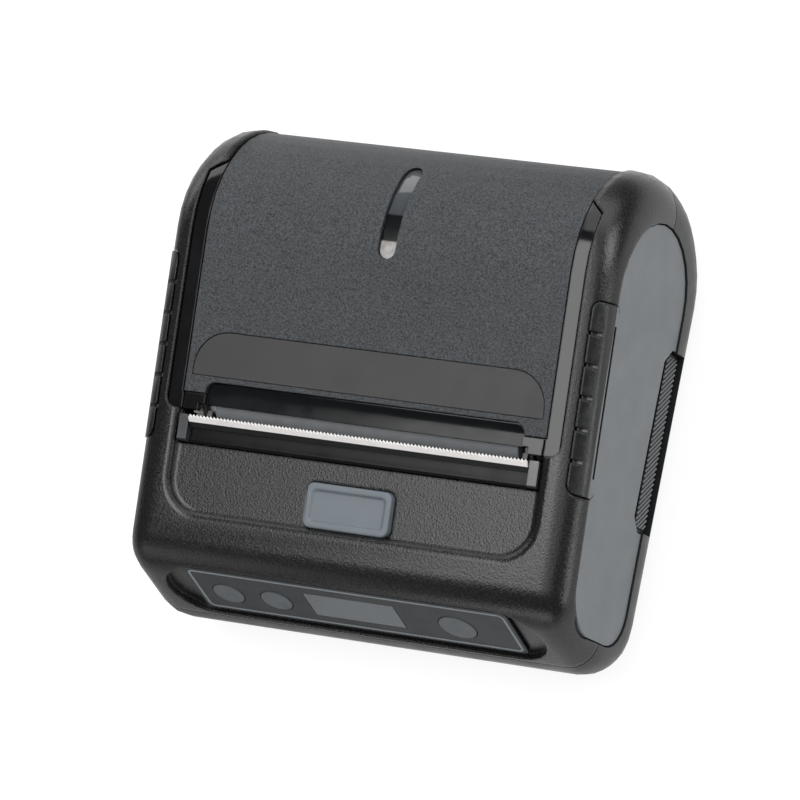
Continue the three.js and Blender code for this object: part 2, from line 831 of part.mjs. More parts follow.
function frontGrip() {
  const shell = common(cut(caseBody(gripProud), caseBody(-gripDepth)), gripRoom(0));
  const pitch = (gripBackY - gripFrontY) / gripSegments;
  const grooves = [];
  for (let segment = 1; segment < gripSegments; segment += 1) {
    const y = gripFrontY + segment * pitch;
    const groove = cut(
      block(gripInnerX - cutOverrun, roomHalfWidth, y - gripGrooveWidth / 2, y + gripGrooveWidth / 2,
        panelEdgeZ(y) + sideRounding / 2, roomHeight),
      caseBody(gripProud - gripGrooveDepth),
    );
    grooves.push(groove);
  }
  const flangeFace = caseWidth / 2 - gripFlangeSink;
  const flangeTop = [
    point(gripFrontY - cutOverrun, 0), point(gripBackY + cutOverrun, 0),
    point(gripBackY + cutOverrun, panelEdgeZ(gripBackY) + gripFlangeDrop),
    point(gripFrontY - cutOverrun, panelEdgeZ(gripFrontY) + gripFlangeDrop),
  ];
  const flangeCut = profile(flangeTop, flangeFace, roomHalfWidth);
  const slitFront = gripFrontY + gripSlitInset;
  const slitBack = gripBackY - gripSlitInset;
  const slitHalf = gripSlitWidth / 2;
  const slit = profile([
    point(slitFront, panelEdgeZ(slitFront) - slitHalf), point(slitBack, panelEdgeZ(slitBack) - slitHalf),
    point(slitBack, panelEdgeZ(slitBack) + slitHalf), point(slitFront, panelEdgeZ(slitFront) + slitHalf),
  ], flangeFace - gripSlitDepth, roomHalfWidth);
  return cut(shell, ...grooves, flangeCut, slit);
}

// Rear grip: a strip with fine slanting ribs

function rearGrip() {
  const back = caseWidth / 2 - rearStripDepth + fitGap;
  const front = back + rearStripThickness;
  const base = profile(rearStripOutline(-fitGap), back, front - rearRibDepth);
  const low = rearStripBottomZ + rearStripEdge;
  const high = rearStripTopZ - rearStripEdge;
  const lean = new THREE.Matrix4().set(
    0, 1, 0, 0,
    1, 0, rearRibLean / (high - low), 0,
    0, 0, 1, low,
    0, 0, 0, 1,
  );
  const start = rearStripFrontY + rearStripChamfer - rearRibLean / 2;
  const pitch = (rearStripBackY - rearStripFrontY - 2 * rearStripChamfer) / rearRibCount;
  const points = [point(start, front - 2 * rearRibDepth)];
  for (let rib = 0; rib < rearRibCount; rib += 1) {
    points.push(point(start + rib * pitch, front - rearRibDepth));
    points.push(point(start + (rib + 1 / 2) * pitch, front));
  }
  const end = start + rearRibCount * pitch;
  points.push(point(end, front - rearRibDepth), point(end, front - 2 * rearRibDepth));
  const shape = new THREE.Shape(points);
  const ribs = new THREE.ExtrudeGeometry(shape, { depth: high - low, bevelEnabled: false });
  const leaning = solid(ribs).transform(lean.toArray());
  return join(base, common(leaning, profile(rearStripOutline(-fitGap), 0, roomHalfWidth)));
}

// Side panel: a leaf-shaped plate, notched for both grips

function sidePanel() {
  const face = profile(sidePanelOutline(0), panelFaceX - panelThickness, panelFaceX);
  return cut(face, gripRoom(fitGap), profile(rearStripOutline(fitGap), 0, roomHalfWidth));
}

function sideRecess() {
  return profile(sidePanelOutline(panelGap), panelFaceX - panelThickness - fitGap, roomHalfWidth);
}

// Sockets' openings through the left side

function socketHole(y, width, height) {
  const half = width / 2 + fitGap;
  return block(-roomHalfWidth, -socketFaceX + jackDepth, y - half, y + half, boardTopZ - fitGap,
    boardTopZ + height + fitGap);
}

function socketHoles() {
  return join(socketHole(usbY, usbWidth, usbHeight), socketHole(jackY, jackWidth, jackHeight));
}

// Shell of both case halves before they are parted

function caseShell() {
  const room = common(bodyInner, block(-caseWidth / 2 + sideWall, caseWidth / 2 - sideWall,
    -roomHeight, roomEndY, 0, roomHeight));
  const shell = cut(bodyOuter, room);
  const gripPockets = cut(gripRoom(panelGap), caseBody(-gripDepth - fitGap));
  const strips = profile(rearStripOutline(0), caseWidth / 2 - rearStripDepth, roomHalfWidth);
  const bed = common(layer(gripDepth + fitGap, gripDepth + fitGap + caseWall), gripRoom(caseWall));
  const tools = [sideRecess(), gripPockets, strips];
  return cut(join(shell, bed, mirrored(bed)), ...tools, ...tools.map(mirrored), socketHoles());
}

function screwPair(y, z0, z1, radius) {
  const right = rodAlongZ(screwPostX, y, radius, z0, z1, smallSides);
  return join(right, mirrored(right));
}

// Bores of one radius on the axes of all four case screws
function screwBores(z0, rise, radius) {
  return join(...[frontScrewY, rearScrewY].map((y) => screwPair(y, z0, rise(y), radius)));
}

// Front case: arms, rolled front end, pocket, mouth and control panel recess

function pocketRegion(grow) {
  return roundedRectangle(-pocketHalfWidth - grow, pocketHalfWidth + grow, pocketFrontY - grow,
    stripFrontY + grow, [pocketCorner, pocketCorner, seamGap, seamGap]);
}

function panelRecessOutline(grow) {
  const radius = (panelRecessTop + panelRecessBottom) / 2 + grow;
  const p = (panelRecessTop - panelRecessBottom) / 2;
  const x = panelRecessHalfLength - radius + grow;
  return [
    ...arc(-x, p, radius, 0.5 * Math.PI, 1.5 * Math.PI, 10),
    ...arc(x, p, radius, -0.5 * Math.PI, 0.5 * Math.PI, 10),
  ];
}

// One hinge ear, grown by a gap
function hingeEar(gap) {
  const inner = earInnerX - gap;
  const outer = earInnerX + earThickness + gap;
  return join(
    rodAlongX(hingeY, hingeZ, earHalfWidth + gap, inner, outer),
    block(inner, outer, hingeY - earHalfWidth - gap, roomEndY, 0, hingeZ),
  );
}

function frontCase() {
  const shell = caseShell();
  const pocketCut = cut(plate(pocketRegion(0), screwHeadZ, roomHeight), caseBody(-pocketDepth));
  const pocketLayer = common(layer(pocketDepth, pocketDepth + pocketFloor),
    plate(pocketRegion(caseWall), splitZ(roomEndY), roomHeight));
  const recessCut = plate(panelRecessOutline(0), -panelFloorDepth, roomHeight, panelPlace);
  const panelLayer = common(
    cut(caseBody(-caseWall / 2), caseBody(-panelDepth - panelFloorDepth - panelBacking)),
    plate(panelRecessOutline(caseWall), -panelBacking, panelDepth, panelPlace),
  );
  const armInner = stripOuterX + seamGap;
  const armLiner = common(caseBody(-caseWall / 2),
    block(armInner, armInner + armWall, armWallFrontY, notchStartY + cutOverrun, splitFrontZ, roomHeight));
  const walls = join(cut(join(shell, armLiner, mirrored(armLiner)), pocketCut), pocketLayer);
  const front = join(cut(walls, recessCut), cut(panelLayer, recessCut));
  const lidWell = plate(lidRegion(seamGap), 0, roomHeight);
  const mouth = block(-mouthHalfWidth, mouthHalfWidth, mouthFrontY, stripFrontY + cutOverrun,
    splitFrontZ, roomHeight);
  const buttonHole = plate(buttonOutline(fitGap), -roomHeight / 2, cutOverrun, buttonPlace);
  const open = cut(front, lidWell, mouth, buttonHole, ...panelOpenings());
  const posts = join(
    common(caseBody(-caseWall / 2), screwPair(frontScrewY, splitFrontZ, roomHeight, screwPostRadius)),
    screwPair(rearScrewY, splitFrontZ, screwBossTopZ, screwPostRadius),
  );
  const bores = screwBores(splitFrontZ - cutOverrun, (y) => splitZ(y) + screwTopRise + fitGap,
    screwRadius + pinGap);
  const earRooms = mirrored(hingeEar(fitGap));
  return common(cut(join(open, posts, ...keyBoardPosts()), bores, socketHoles(), hingeEar(fitGap), earRooms),
    splitSpace(true, splitGap / 2));
}

// Rear case: back, battery compartment, screw posts and hinge ears

function rearCase() {
  const shell = caseShell();
  const inner = batteryHalfWidth + batteryGap;
  const top = batteryTopZ + batteryGap;
  const front = batteryFrontY - batteryGap;
  const back = batteryBackY + batteryGap;
  const compartment = block(-inner - compartmentWall, inner + compartmentWall, front - compartmentWall,
    back + compartmentWall, caseWall / 2, top + compartmentWall);
  const hollow = plate(roundedRectangle(-inner, inner, front, back,
    [batteryCorner, batteryCorner, batteryCorner, batteryCorner]), -cutOverrun, top);
  const postTop = (y) => splitZ(y) - splitGap / 2;
  const posts = common(caseBody(-caseWall / 2), join(
    screwPair(frontScrewY, 0, postTop(frontScrewY), screwPostRadius),
    screwPair(rearScrewY, 0, postTop(rearScrewY), screwPostRadius),
  ));
  const bores = screwBores(-cutOverrun, () => roomHeight, screwRadius + pinGap);
  const wells = screwBores(-cutOverrun, () => screwHeadZ, screwHeadRadius + pinGap);
  const ceiling = top + compartmentWall;
  const frameBoss = cut(
    rodAlongZ(frameScrewX, frameScrewY, frameScrewBossRadius, caseWall / 2, frameBaseZ - fitGap, smallSides),
    rodAlongZ(frameScrewX, frameScrewY, boardScrewRadius + pinGap, ceiling, roomHeight, smallSides),
  );
  const ear = common(caseBody(-caseWall / 2), hingeEar(0));
  const lidWell = plate(lidRegion(seamGap), lidEndZ, roomHeight);
  const body = common(cut(shell, lidWell), splitSpace(false, -splitGap / 2));
  const whole = join(body, compartment, posts, frameBoss, mirrored(frameBoss), ear, mirrored(ear));
  const pinHole = rodAlongX(hingeY, hingeZ, hingePinRadius + pinGap, -earInnerX - earThickness - cutOverrun,
    earInnerX + earThickness + cutOverrun, smallSides);
  return cut(whole, hollow, bores, wells, pinHole, barrelRoom(barrelGap), socketHoles(), contactSlots(),
    rearBayRoom());
}

// Lid: textured cover, glossy frame, name band and window

// The part of the lid that is hollowed in front of the cover, seen from above
function scoopRegion(gap) {
  const half = endBlockInnerX - scoopInset + gap;
  const corner = scoopCorner + gap;
  return plate(roundedRectangle(-half, half, lipFrontY - cutOverrun, scoopBackY + gap,
    [seamGap, seamGap, corner, corner]), hingeZ + barrelRadius, roomHeight);
}

function lidCover() {
  const region = block(-coverHalfWidth, coverHalfWidth, coverFrontY, roomEndY, coverEndZ, roomHeight);
  const skin = common(layer(lidDrop, lidDrop + coverThickness), region);
  const bandPocket = cut(plate(bandRegion(bandGap), screwHeadZ, roomHeight),
    caseBody(-lidDrop - bandSink - bandThickness - fitGap));
  const windowSlot = plate(windowRegion(bandGap), hingeZ + barrelRadius, roomHeight);
  return cut(skin, bandPocket, windowSlot, scoopRegion(0));
}

function nameBand() {
  return common(layer(lidDrop + bandSink, lidDrop + bandSink + bandThickness),
    plate(bandRegion(0), screwHeadZ, roomHeight));
}

function paperWindow() {
  return common(layer(lidDrop + windowSink, lidDrop + windowSink + windowThickness),
    plate(windowRegion(0), hingeZ + barrelRadius, roomHeight));
}

function lidFrame() {
  const under = lidDrop + coverThickness + fitGap;
  const depth = under + frameThickness;
  const region = plate(lidRegion(0), hingeZ + barrelRadius, roomHeight);
  const sheet = common(layer(under, depth), region,
    block(-roomHalfWidth, roomHalfWidth, coverFrontY, roomEndY, hingeZ, roomHeight));
  const strip = common(layer(lidDrop, depth), region,
    block(coverHalfWidth + fitGap, stripOuterX, stripFrontY, roomEndY, hingeZ, roomHeight));
  const wholeBlock = common(caseBody(-lidDrop), plate(lidRegion(fitGap), 0, roomHeight),
    block(endBlockInnerX, stripOuterX, endBlockFrontY, lipBackY(),
      topZ(endBlockFrontY) - lidDrop - endBlockThickness, roomHeight));
  const endBlock = cut(wholeBlock, common(layer(0, lidDrop + endGrooveDepth),
    block(coverHalfWidth - endGrooveWidth, coverHalfWidth, 0, coverFrontY, 0, roomHeight)));
  const cheek = common(caseBody(-lidDrop - endBlockThickness / 2), join(
    block(cheekInnerX, cheekInnerX + cheekThickness, platenY - cheekHalfWidth, platenY + cheekHalfWidth,
      platenZ, roomHeight),
    rodAlongX(platenY, platenZ, cheekHalfWidth, cheekInnerX, cheekInnerX + cheekThickness),
  ));
  const side = join(strip, endBlock, cheek);
  const barrel = join(
    rodAlongX(hingeY, hingeZ, barrelRadius, -barrelHalfLength, barrelHalfLength),
    common(layer(lidDrop, depth), block(-barrelHalfLength, barrelHalfLength, hingeY, roomEndY,
      hingeZ, coverEndZ)),
  );
  const coverSpace = cut(common(cut(bodyOuter, caseBody(-under)),
    block(-coverHalfWidth - fitGap, coverHalfWidth + fitGap, coverFrontY - fitGap, roomEndY,
      coverEndZ - fitGap, roomHeight)), scoopRegion(-fitGap));
  return cut(
    join(sheet, lidLip(), side, mirrored(side), barrel),
    rodAlongX(platenY, platenZ, platenRadius + fitGap, -endBlockInnerX, endBlockInnerX),
    rodAlongX(platenY, platenZ, gearTipRadius(platenTeeth) + fitGap, -gearInnerX - gearThickness - fitGap,
      -gearInnerX + fitGap),
    rodAlongX(platenY, platenZ, shaftRadius + pinGap, -roomHalfWidth, roomHalfWidth, smallSides),
    rodAlongX(hingeY, hingeZ, hingePinRadius + pinGap, -roomHalfWidth, roomHalfWidth, smallSides),
    coverSpace,
    plate(windowRegion(-frameThickness / 2), hingeZ + barrelRadius, roomHeight),
  );
}

function lipBackY() {
  return coverFrontY + frameThickness;
}

// The glossy lip over the platen, hollowed along its length
function lidLip() {
  const surface = topZ(lipFrontY) - lidDrop;
  const lip = common(caseBody(-lidDrop), block(-endBlockOuterX, endBlockOuterX, lipFrontY,
    scoopBackY + frameThickness, surface - endBlockThickness - lipDrop, roomHeight));
  const hollow = rodAlongX(lipFrontY, surface - lipDrop + lipHollowRadius, lipHollowRadius,
    -endBlockOuterX, endBlockOuterX, 3 * roundSides);
  return cut(lip, common(hollow, scoopRegion(-fitGap)));
}

// Control panel pieces, in the panel's own plane

// The two screws of the key board, one at each end
function keyBoardSpots() {
  const x = keyBoardHalfLength - keyBoardPostInset;
  return [[-x, 0], [x, 0]];
}

function keyBoardPosts() {
  return keyBoardSpots().map(([x, p]) => cut(
    rodAlongZ(x, p, keyBoardPostRadius, -keyBoardDepth + fitGap, -caseWall, smallSides, panelPlace),
    rodAlongZ(x, p, boardScrewRadius + pinGap, -roomHeight, -panelBacking, smallSides, panelPlace),
  ));
}

const keys = [
  ['feed_key', feedKeyShare * overlayHalfLength, smallKeyRadius],
  ['settings_key', settingsKeyShare * overlayHalfLength, smallKeyRadius],
  ['power_key', powerKeyShare * overlayHalfLength, powerKeyRadius],
];

function controlOverlay() {
  const edge = roundedRectangle(-overlayHalfLength, overlayHalfLength, -overlayHalfHeight, overlayHalfHeight,
    [overlayCorner, overlayCorner, overlayCorner, overlayCorner]);
  const holes = keys.map(([, x, radius]) => rodAlongZ(x, keyLineP, radius + keyGap, -cutOverrun, cutOverrun));
  return cut(plate(edge, -overlayThickness, 0), ...holes, displayBlock(bandGap, -cutOverrun, cutOverrun));
}

function displayBlock(grow, w0, w1) {
  return block(-displayHalfWidth - grow, displayHalfWidth + grow, displayMidP - displayHalfHeight - grow,
    displayMidP + displayHalfHeight + grow, w0, w1);
}

// Openings through the front wall behind the overlay, one for the display and one for each key
function panelOpenings() {
  const holes = keys.map(([, x, radius]) => rodAlongZ(x, keyLineP, radius + keyFlange + openingMargin,
    -panelWindowDepth, 0, roundSides, panelPlace));
  const display = displayBlock(displayFrame + openingMargin, -panelWindowDepth, 0);
  return [display.transform(panelPlace.toArray()), ...holes];
}

function displayWindow() {
  return displayBlock(0, -overlayThickness, 0);
}

function displayModule() {
  return displayBlock(displayFrame, -keyBoardDepth + fitGap, -overlayThickness - fitGap);
}

// A round key: its cap flush with the overlay, a flange behind it and a stem to its dome
function keyCap(radius) {
  const flangeTop = -overlayThickness - fitGap;
  const stemEnd = -keyBoardDepth + domeHeight + keyTravel + keyStopGap;
  return join(
    rodAlongZ(0, 0, radius, flangeTop - keyFlangeThickness, keyProud),
    rodAlongZ(0, 0, radius + keyFlange, flangeTop - keyFlangeThickness, flangeTop),
    rodAlongZ(0, 0, keyStemRadius, stemEnd, flangeTop, smallSides),
  );
}

function keyBoard() {
  const sheet = block(-keyBoardHalfLength, keyBoardHalfLength, -keyBoardHalfHeight, keyBoardHalfHeight,
    -keyBoardDepth - boardThickness, -keyBoardDepth);
  const holes = keyBoardSpots().map(([x, p]) => rodAlongZ(x, p, boardScrewRadius + pinGap, -roomHeight, 0,
    smallSides));
  return cut(sheet, ...holes);
}

// Switch domes on one carrier film
function keyDomes() {
  const domeProfile = [
    point(0, 0), point(domeRadius, 0), point(domeRadius, domeFilm),
    point(domeRadius, domeHeight).multiplyScalar(domeShoulderShare),
    point(0, domeHeight),
  ];
  const domes = keys.map(([, x]) => {
    const geometry = new THREE.LatheGeometry(domeProfile, smallSides);
    geometry.rotateX(Math.PI / 2);
    geometry.translate(x, keyLineP, -keyBoardDepth);
    return solid(geometry);
  });
  const ends = keys.map(([, x]) => x);
  const film = block(Math.min(...ends) - 2 * domeRadius, Math.max(...ends) + 2 * domeRadius,
    keyLineP - domeRadius / 2, keyLineP + domeRadius / 2, -keyBoardDepth, -keyBoardDepth + domeFilm);
  return join(film, ...domes);
}

function keyBoardScrew([x, p]) {
  const back = -keyBoardDepth - boardThickness - fitGap;
  return join(
    rodAlongZ(x, p, boardScrewHeadRadius, back - boardScrewHeadHeight, back, smallSides),
    rodAlongZ(x, p, boardScrewRadius, back, -panelBacking - fitGap, smallSides),
  );
}

// Open button and the latch lever that it turns

function buttonOutline(gap) {
  return roundedRectangle(-buttonHalfLength - gap, buttonHalfLength + gap, -buttonHalfWidth - gap,
    buttonHalfWidth + gap, [buttonCorner, buttonCorner, buttonCorner, buttonCorner]);
}

const buttonFlangeTop = -pocketDepth - pocketFloor - fitGap;
const buttonFlangeBack = buttonFlangeTop - buttonFlangeThickness;
const latchBarTopZ = topZ(buttonY) + buttonFlangeBack - buttonTravel - latchBarDrop;

function openButton() {
  const dishRadius = buttonCorner / 2;
  const dish = roundedRectangle(-buttonHalfLength + buttonRim, buttonHalfLength - buttonRim,
    -buttonHalfWidth + buttonRim, buttonHalfWidth - buttonRim,
    [dishRadius, dishRadius, dishRadius, dishRadius]);
  const stemLength = topZ(buttonY) - latchBarTopZ - fitGap;
  return cut(
    join(
      plate(buttonOutline(0), buttonFlangeBack, buttonProud),
      plate(buttonOutline(buttonFlange), buttonFlangeBack, buttonFlangeTop),
      rodAlongZ(0, 0, buttonStemRadius, -stemLength, buttonFlangeBack),
    ),
    plate(dish, buttonProud - buttonDish, buttonProud + cutOverrun),
  );
}

function latchLever() {
  const armInner = plateInnerX + plateThickness + fitGap;
  const armOuter = armInner + latchThickness;
  const hookInner = bushingRadius + hookGap;
  const hookOuter = hookInner + hookWidth;
  const ring = [
    ...arc(platenY, platenZ, hookOuter, hookTop, hookFoot, 8),
    ...arc(platenY, platenZ, hookInner, hookFoot, hookTop, 8),
  ];
  const half = latchArmWidth / 2;
  const upright = [
    point(latchPivotY - half, latchPivotZ), point(latchPivotY + half, latchPivotZ),
    point(platenY - hookInner - hookGap, platenZ - half), point(platenY - hookInner - hookGap, platenZ),
    point(platenY - hookOuter - hookGap, platenZ), point(platenY - hookOuter - hookGap, platenZ - half),
  ];
  const foreArm = [
    point(latchPivotY, latchPivotZ - half), point(latchPivotY, latchPivotZ + half),
    point(buttonY + latchBarWidth / 2, latchBarTopZ), point(buttonY - latchBarWidth / 2, latchBarTopZ),
    point(buttonY - latchBarWidth / 2, latchBarTopZ - latchBarThickness),
  ];
  const arm = join(
    profile(ring, armInner, armOuter),
    profile(upright, armInner, armOuter),
    profile(foreArm, armInner, armOuter),
    rodAlongX(latchPivotY, latchPivotZ, half, armInner, armOuter),
    rodAlongX(latchPivotY, latchPivotZ, latchBossRadius, plateInnerX + fitGap, armOuter, smallSides),
  );
  const bar = block(-armOuter, armOuter, buttonY - latchBarWidth / 2, buttonY + latchBarWidth / 2,
    latchBarTopZ - latchBarThickness, latchBarTopZ);
  return join(bar, arm, mirrored(arm));
}

function buttonSpring() {
  const low = frameBaseZ + frameSheet;
  const high = latchBarTopZ - latchBarThickness - fitGap;
  return cut(
    rodAlongZ(0, buttonY, buttonSpringRadius, low, high, smallSides),
    rodAlongZ(0, buttonY, buttonSpringRadius - springWire, low - cutOverrun, high + cutOverrun, smallSides),
  );
}

// Mechanism frame: two side plates joined by a base, a backing plate and a paper guide

function idlerSpot() {
  const distance = (platenTeeth + idlerTeeth) * gearModule / 2;
  return point(platenY + distance * Math.cos(idlerBearing), platenZ + distance * Math.sin(idlerBearing));
}

function motorSpot() {
  const distance = (pinionTeeth + idlerTeeth) * gearModule / 2;
  const idler = idlerSpot();
  return point(idler.x + distance * Math.cos(motorBearing), idler.y + distance * Math.sin(motorBearing));
}

function headFaceY() {
  return platenY - platenRadius - headContactGap;
}

function headPivotY() {
  return headFaceY() - ceramicThickness - fitGap - heatSinkThickness / 2;
}

function frameSidePlate() {
  const notchHalf = bushingRadius + frameNotchGap;
  const motor = motorSpot();
  const points = [
    point(frameFrontY, frameBaseZ), point(frameBackY, motor.y - motorRadius + fitGap),
    point(frameBackY, guideZ + guideThickness), point(platenY + 2 * bushingRadius, guideZ + guideThickness),
    point(platenY + 2 * bushingRadius, platenZ + bushingRadius),
    point(headFaceY() - ceramicThickness, frameTopZ),
    point(frameFrontY + frameSheet, headBackerTopZ), point(frameFrontY, headBackerTopZ),
  ];
  const sheet = profile(points, plateInnerX, plateInnerX + plateThickness);
  const away = new THREE.Matrix4().makeTranslation(0, platenY, platenZ)
    .multiply(new THREE.Matrix4().makeRotationX(-Math.atan2(platenZ - hingeZ, hingeY - platenY)));
  const notch = join(
    rodAlongX(platenY, platenZ, notchHalf, 0, roomHalfWidth),
    block(0, roomHalfWidth, -notchHalf, notchHalf + frameSheet, 0, roomHeight, away),
  );
  const pivots = [
    rodAlongX(latchPivotY, latchPivotZ, latchBossRadius + pinGap, 0, roomHalfWidth, smallSides),
    rodAlongX(headPivotY(), headPivotZ, headPivotRadius + pinGap, 0, roomHalfWidth, smallSides),
  ];
  return cut(sheet, notch, ...pivots);
}

function mechanismFrame() {
  const right = frameSidePlate();
  const motor = motorSpot();
  const idler = idlerSpot();
  const left = cut(mirrored(right),
    rodAlongX(motor.x, motor.y, motorShaftRadius + fitGap, -roomHalfWidth, 0, smallSides),
    rodAlongX(idler.x, idler.y, gearPostRadius + pinGap, -roomHalfWidth, 0, smallSides));
  const inner = plateInnerX + plateThickness / 2;
  const base = block(-inner, inner, frameFrontY, frameBaseBackY, frameBaseZ, frameBaseZ + frameSheet);
  const backing = block(-inner, inner, frameFrontY, frameFrontY + frameSheet, frameBaseZ, headBackerTopZ);
  const guide = block(-inner, inner, guideFrontY, frameBackY, guideZ, guideZ + guideThickness);
  const tongue = block(-springTongueHalfWidth, springTongueHalfWidth, buttonY - springTongueHalfWidth,
    frameFrontY + frameSheet, frameBaseZ, frameBaseZ + frameSheet);
  const screwHole = rodAlongZ(frameScrewX, frameScrewY, boardScrewRadius + pinGap, 0, frameBaseZ + cutOverrun,
    smallSides);
  const whole = join(right, left, base, backing, guide, tongue);
  return cut(whole, screwHole, mirrored(screwHole), sensorBlock(fitGap));
}

function frameScrew() {
  const top = frameBaseZ + frameSheet;
  return join(
    rodAlongZ(frameScrewX, frameScrewY, frameScrewHeadRadius, top, top + frameScrewHeadHeight, smallSides),
    rodAlongZ(frameScrewX, frameScrewY, boardScrewRadius,
      batteryTopZ + batteryGap + compartmentWall + fitGap, top, smallSides),
  );
}

// Print head: aluminium heat sink on a pivot, with the ceramic strip that faces the platen

function headHeatSink() {
  const face = headFaceY() - ceramicThickness - fitGap;
  const back = face - heatSinkThickness;
  const foot = rodAlongX(headPivotY(), headPivotZ, headFootRadius, -headHalfLength, headHalfLength);
  const body = block(-headHalfLength, headHalfLength, back, face, headPivotZ, headTopZ);
  const ledge = block(-headHalfLength, headHalfLength, back, face + fitGap / 2 + ceramicThickness / 2,
    ceramicTopZ - ceramicHeight - fitGap - ceramicThickness, ceramicTopZ - ceramicHeight - fitGap);
  return cut(join(body, foot, ledge),
    rodAlongX(headPivotY(), headPivotZ, headPivotRadius + pinGap, -roomHalfWidth, roomHalfWidth, smallSides));
}

function headCeramic() {
  const face = headFaceY();
  return block(-headHalfLength, headHalfLength, face - ceramicThickness, face,
    ceramicTopZ - ceramicHeight, ceramicTopZ);
}

function headPivotPin() {
  const end = plateInnerX + plateThickness;
  return rodAlongX(headPivotY(), headPivotZ, headPivotRadius, -end, end, smallSides);
}

function headSpring() {
  const low = frameFrontY + frameSheet;
  const high = headFaceY() - ceramicThickness - heatSinkThickness - 2 * fitGap;
  const hollow = headSpringRadius - springWire;
  return cut(
    rodAlongY(headSpringX, headSpringZ, headSpringRadius, low, high, smallSides),
    rodAlongY(headSpringX, headSpringZ, hollow, low - cutOverrun, high + cutOverrun, smallSides),
  );
}

// Platen: rubber roller on a steel shaft with bushings and a gear

function platenRoller() {
  return cut(rodAlongX(0, 0, platenRadius, -platenHalfLength, platenHalfLength, 2 * roundSides),
    rodAlongX(0, 0, shaftRadius + pinGap, -roomHalfWidth, roomHalfWidth, smallSides));
}

function platenShaft() {
  const reach = cheekInnerX + cheekThickness;
  return rodAlongX(0, 0, shaftRadius, -reach, reach, smallSides);
}

function platenBushing() {
  return cut(rodAlongX(0, 0, bushingRadius, bushingInnerX, bushingOuterX),
    rodAlongX(0, 0, shaftRadius + pinGap, 0, roomHalfWidth, smallSides));
}

function gearTipRadius(teeth) {
  return (teeth / 2 + gearAddendumShare) * gearModule;
}

// Angle of one tooth of a gear that meshes with another, whose tooth lies at a given angle
function meshedPhase(bearing, otherPhase, otherTeeth, teeth) {
  const pastTooth = (bearing - otherPhase) * otherTeeth / (2 * Math.PI);
  return bearing + Math.PI - (1 / 2 - pastTooth) * 2 * Math.PI / teeth;
}

// A spur gear round the x axis, with straight-flanked teeth
function gear(teeth, boreRadius, phase) {
  const tipRadius = gearTipRadius(teeth);
  const rootRadius = (teeth / 2 - gearDedendumShare) * gearModule;
  const step = 2 * Math.PI / teeth;
  const points = [];
  for (let tooth = 0; tooth < teeth; tooth += 1) {
    const middle = phase + tooth * step;
    const rootHalf = step * (1 - toothWidthShare) / 2;
    const tipHalf = step * toothWidthShare / 3;
    points.push(onCircle(rootRadius, middle - rootHalf), onCircle(tipRadius, middle - tipHalf));
    points.push(onCircle(tipRadius, middle + tipHalf), onCircle(rootRadius, middle + rootHalf));
  }
  const body = profile(points, -gearInnerX - gearThickness, -gearInnerX);
  return cut(body, rodAlongX(0, 0, boreRadius + pinGap, -roomHalfWidth, roomHalfWidth, smallSides));
}

function driveMotor() {
  const motor = motorSpot();
  const right = -plateInnerX + fitGap;
  return cut(
    rodAlongX(motor.x, motor.y, motorRadius, right, right + motorLength),
    rodAlongX(motor.x, motor.y, motorShaftRadius + pinGap, -roomHalfWidth, right + motorLength / 2,
      smallSides),
  );
}

function motorShaft() {
  const motor = motorSpot();
  return rodAlongX(motor.x, motor.y, motorShaftRadius, -gearInnerX - gearThickness,
    -plateInnerX + motorLength / 2, smallSides);
}

function gearPost() {
  const idler = idlerSpot();
  return rodAlongX(idler.x, idler.y, gearPostRadius, -gearInnerX - gearThickness - fitGap,
    -plateInnerX + fitGap, smallSides);
}

// Tear bar and its holder

function tearBarHolder() {
  const ridgeTop = holderBaseZ + ridgeRise;
  const ridgeFoot = holderBaseZ + ridgeFootRise;
  const slopeRun = (ridgeTop - ridgeFoot) / Math.tan(bladeTilt);
  const floor = holderBaseZ + holderFloorRise;
  const channel = [
    point(holderFrontY, holderBaseZ), point(holderBackY, holderBaseZ), point(holderBackY, ridgeTop),
    point(holderBackY - slopeRun, ridgeFoot),
    point(holderBackY - slopeRun - holderWallThickness, floor + holderWallThickness / 2),
    point((holderFrontY + holderBackY - slopeRun) / 2, floor),
    point(holderFrontY + 2 * holderWallThickness, floor + holderWallThickness / 2),
    point(holderFrontY + holderWallThickness, holderBaseZ + holderWallHeight),
    point(holderFrontY, holderBaseZ + holderWallHeight - holderWallThickness / 2),
  ];
  const middle = profile(channel, -endPieceInnerX, endPieceInnerX);
  const end = profile([
    point(holderFrontY, holderBaseZ),
    point(holderBackY, holderBaseZ),
    point(holderBackY, holderBaseZ + endPieceRise),
    point(holderFrontY + holderWallThickness, holderBaseZ + endPieceFrontRise + holderWallThickness),
    point(holderFrontY, holderBaseZ + endPieceFrontRise),
  ], endPieceInnerX, holderHalfLength);
  return join(middle, end, mirrored(end));
}

function tearBar() {
  const count = Math.floor(2 * bladeHalfLength / toothPitch);
  const points = [point(-bladeHalfLength, 0), point(bladeHalfLength, 0)];
  for (let tooth = count; tooth > 0; tooth -= 1) {
    const x = -bladeHalfLength + 2 * bladeHalfLength * tooth / count;
    points.push(point(x, bladeWidth - toothDepth));
    points.push(point(x - bladeHalfLength / count, bladeWidth));
  }
  points.push(point(-bladeHalfLength, bladeWidth - toothDepth));
  return plate(points, 0, bladeThickness);
}

function tearBarPlace() {
  const slopeRun = (ridgeRise - ridgeFootRise) / Math.tan(bladeTilt);
  const lift = fitGap;
  const y = holderBackY - slopeRun - lift * Math.sin(bladeTilt);
  const z = holderBaseZ + ridgeFootRise + lift * Math.cos(bladeTilt);
  return new THREE.Matrix4().makeTranslation(0, y, z).multiply(new THREE.Matrix4().makeRotationX(bladeTilt));
}

// Paper bay: a round-bottomed trough with two side walls

const bayZ = caseWall + fitGap + bayWall + bayRadius;

